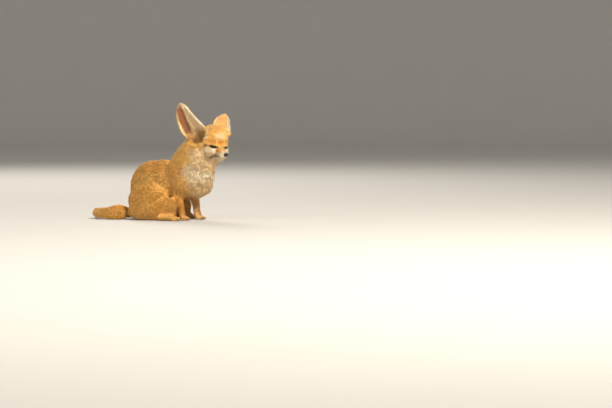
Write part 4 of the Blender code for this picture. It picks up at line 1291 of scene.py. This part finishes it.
def noise_node(tree, scale):
    """A soft noise of that scale on the piece."""
    noise = add_node(tree, "TexNoise", {"Vector": object_place(tree), "Scale": scale, "Detail": 3.0})
    return noise.outputs["Fac"]


def bump_normal(tree, height, strength, depth):
    """The normal that a height in a fine pattern gives."""
    return add_node(tree, "Bump", {"Height": height, "Strength": strength, "Distance": depth}).outputs["Normal"]


def rgba(colour, factor=1.0):
    """An opaque colour, that many times as light."""
    return (*(value * factor for value in colour), 1)


def coat_colour_group(coat):
    """The coat's colour from its markings and the shade painted among them: buff, rust, cream, dark and bare skin."""
    names = ("buff", "rust", "cream", "dark", "bare")
    inputs = [(name.title(), "NodeSocketColor", rgba(getattr(coat, name))) for name in names]
    group, given, out = new_group("Coat colour", inputs, [("Color", "NodeSocketColor")])
    colour = mix_colour(group, field_node(group, "rust"), given["Buff"], given["Rust"])
    colour = mix_colour(group, field_node(group, "pale"), colour, given["Cream"])
    light = math_node(group, "MULTIPLY_ADD", field_node(group, "shade"), 0.5, 0.80)
    deep = math_node(group, "MULTIPLY_ADD", field_node(group, "along"), 0.42, 0.70)
    light = math_node(group, "MULTIPLY", light, deep)
    colour = add_node(group, "VectorMath", {0: colour, "Scale": light}, operation="SCALE").outputs[0]
    colour = mix_colour(group, field_node(group, "bare"), colour, given["Bare"])
    colour = mix_colour(group, field_node(group, "dark"), colour, given["Dark"])
    feed(group, out["Color"], colour)
    return group


def grain_group():
    """A fine grain for roughness and bumps."""
    inputs = [("Scale", "NodeSocketFloat", 900.0), ("Low", "NodeSocketFloat", 0.5), ("High", "NodeSocketFloat", 0.7)]
    group, given, out = new_group("Grain", inputs, [("Height", "NodeSocketFloat"), ("Roughness", "NodeSocketFloat")])
    height = add_node(group, "TexNoise", {"Vector": object_place(group), "Scale": given["Scale"]}).outputs["Fac"]
    spread = add_node(group, "MapRange", {"Value": height, "To Min": given["Low"], "To Max": given["High"]})
    feed(group, out["Height"], height)
    feed(group, out["Roughness"], spread.outputs[0])
    return group


def shared_group(name, maker, *values):
    """The node group of that name, which is made at its first use."""
    return bpy.data.node_groups.get(name) or maker(*values)


def new_material(name, **constants):
    """A material with its Principled shader's own sockets set: the material, its nodes and the shader's inputs."""
    material = bpy.data.materials.new(name)
    material.use_nodes = True
    sockets = material.node_tree.nodes["Principled BSDF"].inputs
    for label, value in constants.items():
        sockets[label.replace("_", " ")].default_value = value
    return material, material.node_tree, sockets


def add_grain(tree, sockets, scale, low, high, strength, depth):
    """Gives a material the shared grain, in its roughness and as a bump."""
    grain = add_node(
        tree, "Group", {"Scale": scale, "Low": low, "High": high}, node_tree=shared_group("Grain", grain_group)).outputs
    feed(tree, sockets["Normal"], bump_normal(tree, grain["Height"], strength, depth))
    feed(tree, sockets["Roughness"], grain["Roughness"])


def coat_material(name, coat, grain_scale, bump):
    """Hair in the colours of the coat's markings and its painted shade, with a faint sheen."""
    material, tree, sockets = new_material(name, Sheen_Weight=0.15, Sheen_Roughness=0.5, Specular_IOR_Level=0.35)
    colour = add_node(tree, "Group", node_tree=shared_group("Coat colour", coat_colour_group, coat))
    feed(tree, sockets["Base Color"], colour.outputs["Color"])
    add_grain(tree, sockets, grain_scale, 0.52, 0.72, bump, 0.0004)
    return material


def eye_material(face):
    """A dark brown iris round a dark upright pupil, under a wet coat."""
    material, tree, sockets = new_material(
        "wet eye", Roughness=0.22, Coat_Weight=0.3, Coat_Roughness=0.08, Specular_IOR_Level=0.15)
    ramp = add_node(tree, "ValToRGB", {"Fac": field_node(tree, "gaze")})
    stops = ((0.0, face.iris, 1.3), (0.50, face.iris, 0.8), (0.60, face.iris, 0.12), (0.72, (0.20, 0.13, 0.10), 1.0))
    while len(ramp.color_ramp.elements) < len(stops):
        ramp.color_ramp.elements.new(1.0)
    for element, (place, colour, light) in zip(ramp.color_ramp.elements, stops):
        element.position = place
        element.color = rgba(colour, light)
    streaks = mix_colour(tree, noise_node(tree, 1400), ramp.outputs["Color"], (0.05, 0.025, 0.012, 1))
    pupil = math_node(tree, "LESS_THAN", field_node(tree, "pupil"), 0.42)
    feed(tree, sockets["Base Color"], mix_colour(tree, pupil, streaks, (0.003, 0.003, 0.003, 1)))
    return material


def plain_grain_material(name, colour, second, roughness, grain_scale, bump, **constants):
    """A finish of two near colours in a fine pattern, with a grain of its own."""
    material, tree, sockets = new_material(name, **constants)
    feed(tree, sockets["Base Color"], mix_colour(tree, noise_node(tree, grain_scale * 0.35), colour, second))
    add_grain(tree, sockets, grain_scale, *roughness, bump, 0.0003)
    return material


def pebbled_material(face):
    """The nose's wet black leather, of small raised scales."""
    material, tree, sockets = new_material("nose leather", Coat_Weight=0.35, Coat_Roughness=0.25)
    cells = add_node(tree, "TexVoronoi", {"Vector": object_place(tree), "Scale": 1900}, feature="DISTANCE_TO_EDGE")
    inside = cells.outputs["Distance"]
    scales = add_node(tree, "MapRange", {"Value": inside, "From Max": 0.12}).outputs[0]
    rough = add_node(tree, "MapRange", {"Value": inside, "To Min": 0.6, "To Max": 0.36}).outputs[0]
    feed(tree, sockets["Normal"], bump_normal(tree, scales, 0.5, 0.0002))
    # Painted shade: the grooves between the nose's scales are painted darker than the scales' tops.
    feed(tree, sockets["Base Color"], mix_colour(tree, scales, rgba(face.leather, 0.4), rgba(face.leather)))
    feed(tree, sockets["Roughness"], rough)
    return material


def colour_property(name, description, default):
    """A property for a colour that a user may change."""
    return FloatVectorProperty(
        name=name, description=description, default=default, size=3, min=0, max=1, subtype="COLOR")


class FoxCoat(bpy.types.PropertyGroup):
    """How thick the coat is, and its colours"""

    tufts: IntProperty(name="Tufts", description="Tufts in the whole coat", default=150000, min=1000, max=170000)
    buff: colour_property("Buff", "The coat's main colour", (0.93, 0.54, 0.12))
    rust: colour_property("Rust", "The warmer colour of the nose's bridge, forehead and back", (0.74, 0.29, 0.025))
    cream: colour_property("Cream", "The cheeks, throat and inner legs", (1.0, 0.82, 0.55))
    # Dark also colours the painted shade in the ears' cups and in the creases below the eyes.
    dark: colour_property("Dark", "The eyes' rims and the tail's tip", (0.030, 0.017, 0.010))
    # Bare skin also colours the painted shade at the bottom of the ears' cups.
    bare: colour_property("Bare skin", "The skin inside the ears", (0.25, 0.085, 0.028))


class FoxFace(bpy.types.PropertyGroup):
    """The colours of the face's bare parts and of the claws, and the whiskers"""

    iris: colour_property("Iris", "The eyes' colour", (0.055, 0.024, 0.010))
    leather: colour_property("Leather", "The nose, lips and lids", (0.020, 0.015, 0.013))
    horn: colour_property("Horn", "The claws' colour", (0.30, 0.22, 0.15))
    whisker: FloatProperty(
        name="Whisker length", description="How long the muzzle's whiskers are", default=0.042, min=0.01, unit="LENGTH")
    whisker_rows: IntProperty(
        name="Whiskers a row", description="Whiskers in each of three rows", default=4, min=1, max=8)


class FoxStage(bpy.types.PropertyGroup):
    """The floor and the camera"""

    floor: colour_property("Floor", "The pale floor and backdrop", (0.58, 0.565, 0.54))
    floor_radius: FloatProperty(
        name="Floor radius", description="Where the floor turns up", default=7.0, unit="LENGTH")
    distance: FloatProperty(
        name="Camera distance", description="From the camera to its aim", default=5.0, unit="LENGTH")
    elevation: FloatProperty(
        name="Camera elevation", description="How far the camera looks down", default=math.radians(3), subtype="ANGLE")
    lens: FloatProperty(
        name="Lens", description="The camera's focal length in millimetres", default=122.5, min=1, unit="CAMERA")


class FOX_OT_make_skin(bpy.types.Operator):
    """Makes one skin for all the flesh, under the coat"""

    bl_idname = "fox.make_skin"
    bl_label = "Make Skin"

    def execute(self, context):
        skin = build_skin()
        settle(skin, "coat_back", coat_material("skin under the coat", context.scene.fox_coat, 1500, 0.5), *FLESH)
        return {"FINISHED"}


class FOX_OT_make_eyes(bpy.types.Operator):
    """Makes the two eyeballs and the dark rims of their lids"""

    bl_idname = "fox.make_eyes"
    bl_label = "Make Eyes"

    def execute(self, context):
        face = context.scene.fox_face
        wet = eye_material(face)
        for name, side in SIDES:
            settle(eyeball("eyeball_" + name, side), "eye", wet, "eye_" + name)
        rim = plain_grain_material(
            "lid skin", rgba(face.leather), rgba(face.leather, 2.2), (0.35, 0.55), 1600, 0.3, Coat_Weight=0.2)
        settle(strands("lid_rims", lid_rims(skin_surface()), 3, closed=True), "nose_skin", rim)
        return {"FINISHED"}


class FOX_OT_make_nose(bpy.types.Operator):
    """Makes the nose pad and the lips"""

    bl_idname = "fox.make_nose"
    bl_label = "Make Nose and Lips"

    def execute(self, context):
        face = context.scene.fox_face
        settle(object_from("nose_pad", nose_shape()), "nose_skin", pebbled_material(face), "nose")
        lip = plain_grain_material(
            "lip skin", rgba(face.leather), rgba(face.leather, 2.5), (0.35, 0.6), 1500, 0.3, Coat_Weight=0.15)
        settle(strands("lips", lip_paths(skin_surface()), 3), "nose_skin", lip)
        return {"FINISHED"}


class FOX_OT_make_whiskers(bpy.types.Operator):
    """Makes the whiskers of the muzzle and brows"""

    bl_idname = "fox.make_whiskers"
    bl_label = "Make Whiskers"

    def execute(self, context):
        face = context.scene.fox_face
        random = np.random.default_rng(RANDOM_SEED + 5)
        paths = whisker_paths(skin_surface(), face.whisker, face.whisker_rows, random)
        hair = plain_grain_material(
            "whisker hair", (0.03, 0.02, 0.015, 1), (0.08, 0.06, 0.05, 1), (0.3, 0.45), 900, 0.1)
        settle(strands("whiskers", paths, 1), "nose_skin", hair)
        return {"FINISHED"}


class FOX_OT_make_claws(bpy.types.Operator):
    """Makes the claws of all four feet"""

    bl_idname = "fox.make_claws"
    bl_label = "Make Claws"

    def execute(self, context):
        face = context.scene.fox_face
        horn = plain_grain_material(
            "claw horn", rgba(face.horn), rgba(face.horn, 0.45), (0.3, 0.5), 700, 0.2, Coat_Weight=0.1)
        settle(strands("claws", claw_paths(), 2), "nose_skin", horn)
        return {"FINISHED"}


class FOX_OT_make_coat(bpy.types.Operator):
    """Grows the tufts of the whole coat from the skin"""

    bl_idname = "fox.make_coat"
    bl_label = "Make Coat"

    def execute(self, context):
        coat = context.scene.fox_coat
        fur = coat_material("fur", coat, 500, 0.15)
        meshes = build_coat(finished_skin().data, coat.tufts)
        for name, slot, *_ in COAT_PIECES:
            settle(placed(name, meshes[name]), slot, fur)
        return {"FINISHED"}


def add_light(name, place, size, power, colour):
    """A round soft light that shines at the fox."""
    light = bpy.data.lights.new(name, "AREA")
    light.shape = "DISK"
    light.size = size
    light.energy = power
    light.color = colour
    lamp = placed(name, light)
    lamp.location = place
    lamp.rotation_euler = (HEAD.translation * 0.5 - Vector(place)).to_track_quat("-Z", "Y").to_euler()


def studio_floor(radius):
    """A floor that turns up into a backdrop all round."""
    bm = bmesh.new()
    profile = [(0.0, 0.0), (radius * 0.5, 0.0), (radius, 0.0)]
    profile += [(radius + BACKDROP_TURN * math.sin(a), BACKDROP_TURN - BACKDROP_TURN * math.cos(a))
                for a in np.radians(range(10, 91, 10))]
    profile += [(radius + BACKDROP_TURN, BACKDROP_TOP)]
    verts = [bm.verts.new((x, 0, z)) for x, z in profile]
    edges = [bm.edges.new(pair) for pair in zip(verts, verts[1:])]
    bmesh.ops.spin(
        bm, geom=verts + edges, cent=(0, 0, 0), axis=(0, 0, 1), angle=math.tau, steps=96, use_merge=True)
    bmesh.ops.remove_doubles(bm, verts=bm.verts, dist=1e-5)
    bmesh.ops.recalc_face_normals(bm, faces=bm.faces)
    return object_from("studio_floor", bm)


class FOX_OT_make_stage(bpy.types.Operator):
    """Makes the pale floor, the soft lights and the camera"""

    bl_idname = "fox.make_stage"
    bl_label = "Make Stage"

    def execute(self, context):
        scene = context.scene
        stage = scene.fox_stage
        floor = studio_floor(stage.floor_radius)
        material, tree, sockets = new_material("floor", Roughness=0.85, Specular_IOR_Level=0.2)
        colour = mix_colour(tree, noise_node(tree, 3.0), rgba(stage.floor), rgba(stage.floor, 0.96))
        feed(tree, sockets["Base Color"], colour)
        floor.data.materials.append(material)
        floor.data.shade_smooth()
        for light in LIGHTS:
            add_light(*light)
        scene.world = bpy.data.worlds.new("studio")
        scene.world.use_nodes = True
        sky = scene.world.node_tree.nodes["Background"].inputs
        sky["Color"].default_value = SKY_COLOUR
        sky["Strength"].default_value = SKY_STRENGTH
        scene.view_settings.view_transform = "Standard"
        lens = bpy.data.cameras.new("camera")
        lens.lens = stage.lens
        lens.sensor_width = 36
        lens.clip_end = 100
        camera = placed("camera", lens)
        away = Vector((0, -math.cos(stage.elevation), math.sin(stage.elevation))) * stage.distance
        camera.location = SHIFT @ CAMERA_AIM + away
        camera.rotation_euler = (math.pi / 2 - stage.elevation, 0, 0)
        scene.camera = camera
        return {"FINISHED"}


OPERATORS = (
    FOX_OT_make_skin,
    FOX_OT_make_eyes,
    FOX_OT_make_nose,
    FOX_OT_make_whiskers,
    FOX_OT_make_claws,
    FOX_OT_make_coat,
    FOX_OT_make_stage,
)
GROUPS = (("fox_coat", FoxCoat), ("fox_face", FoxFace), ("fox_stage", FoxStage))


class FOX_PT_panel(bpy.types.Panel):
    """Lists the sizes and colours, and a button for each piece"""

    bl_idname = "FOX_PT_panel"
    bl_label = "Fennec Fox"
    bl_space_type = "VIEW_3D"
    bl_region_type = "UI"
    bl_category = "Fennec"

    def draw(self, context):
        for name, group in GROUPS:
            box = self.layout.box()
            for key in group.__annotations__:
                box.prop(getattr(context.scene, name), key)
        for operator in OPERATORS:
            self.layout.operator(operator.bl_idname)


def register():
    for name, group in GROUPS:
        bpy.utils.register_class(group)
        setattr(bpy.types.Scene, name, PointerProperty(type=group))
    for operator in OPERATORS:
        bpy.utils.register_class(operator)
    bpy.utils.register_class(FOX_PT_panel)


def unregister():
    bpy.utils.unregister_class(FOX_PT_panel)
    for operator in reversed(OPERATORS):
        bpy.utils.unregister_class(operator)
    for name, group in reversed(GROUPS):
        delattr(bpy.types.Scene, name)
        bpy.utils.unregister_class(group)


def main():
    """Makes every piece in order."""
    register()
    for operator in OPERATORS:
        getattr(bpy.ops.fox, operator.bl_idname.split(".")[1])()


if __name__ == "__main__":
    main()
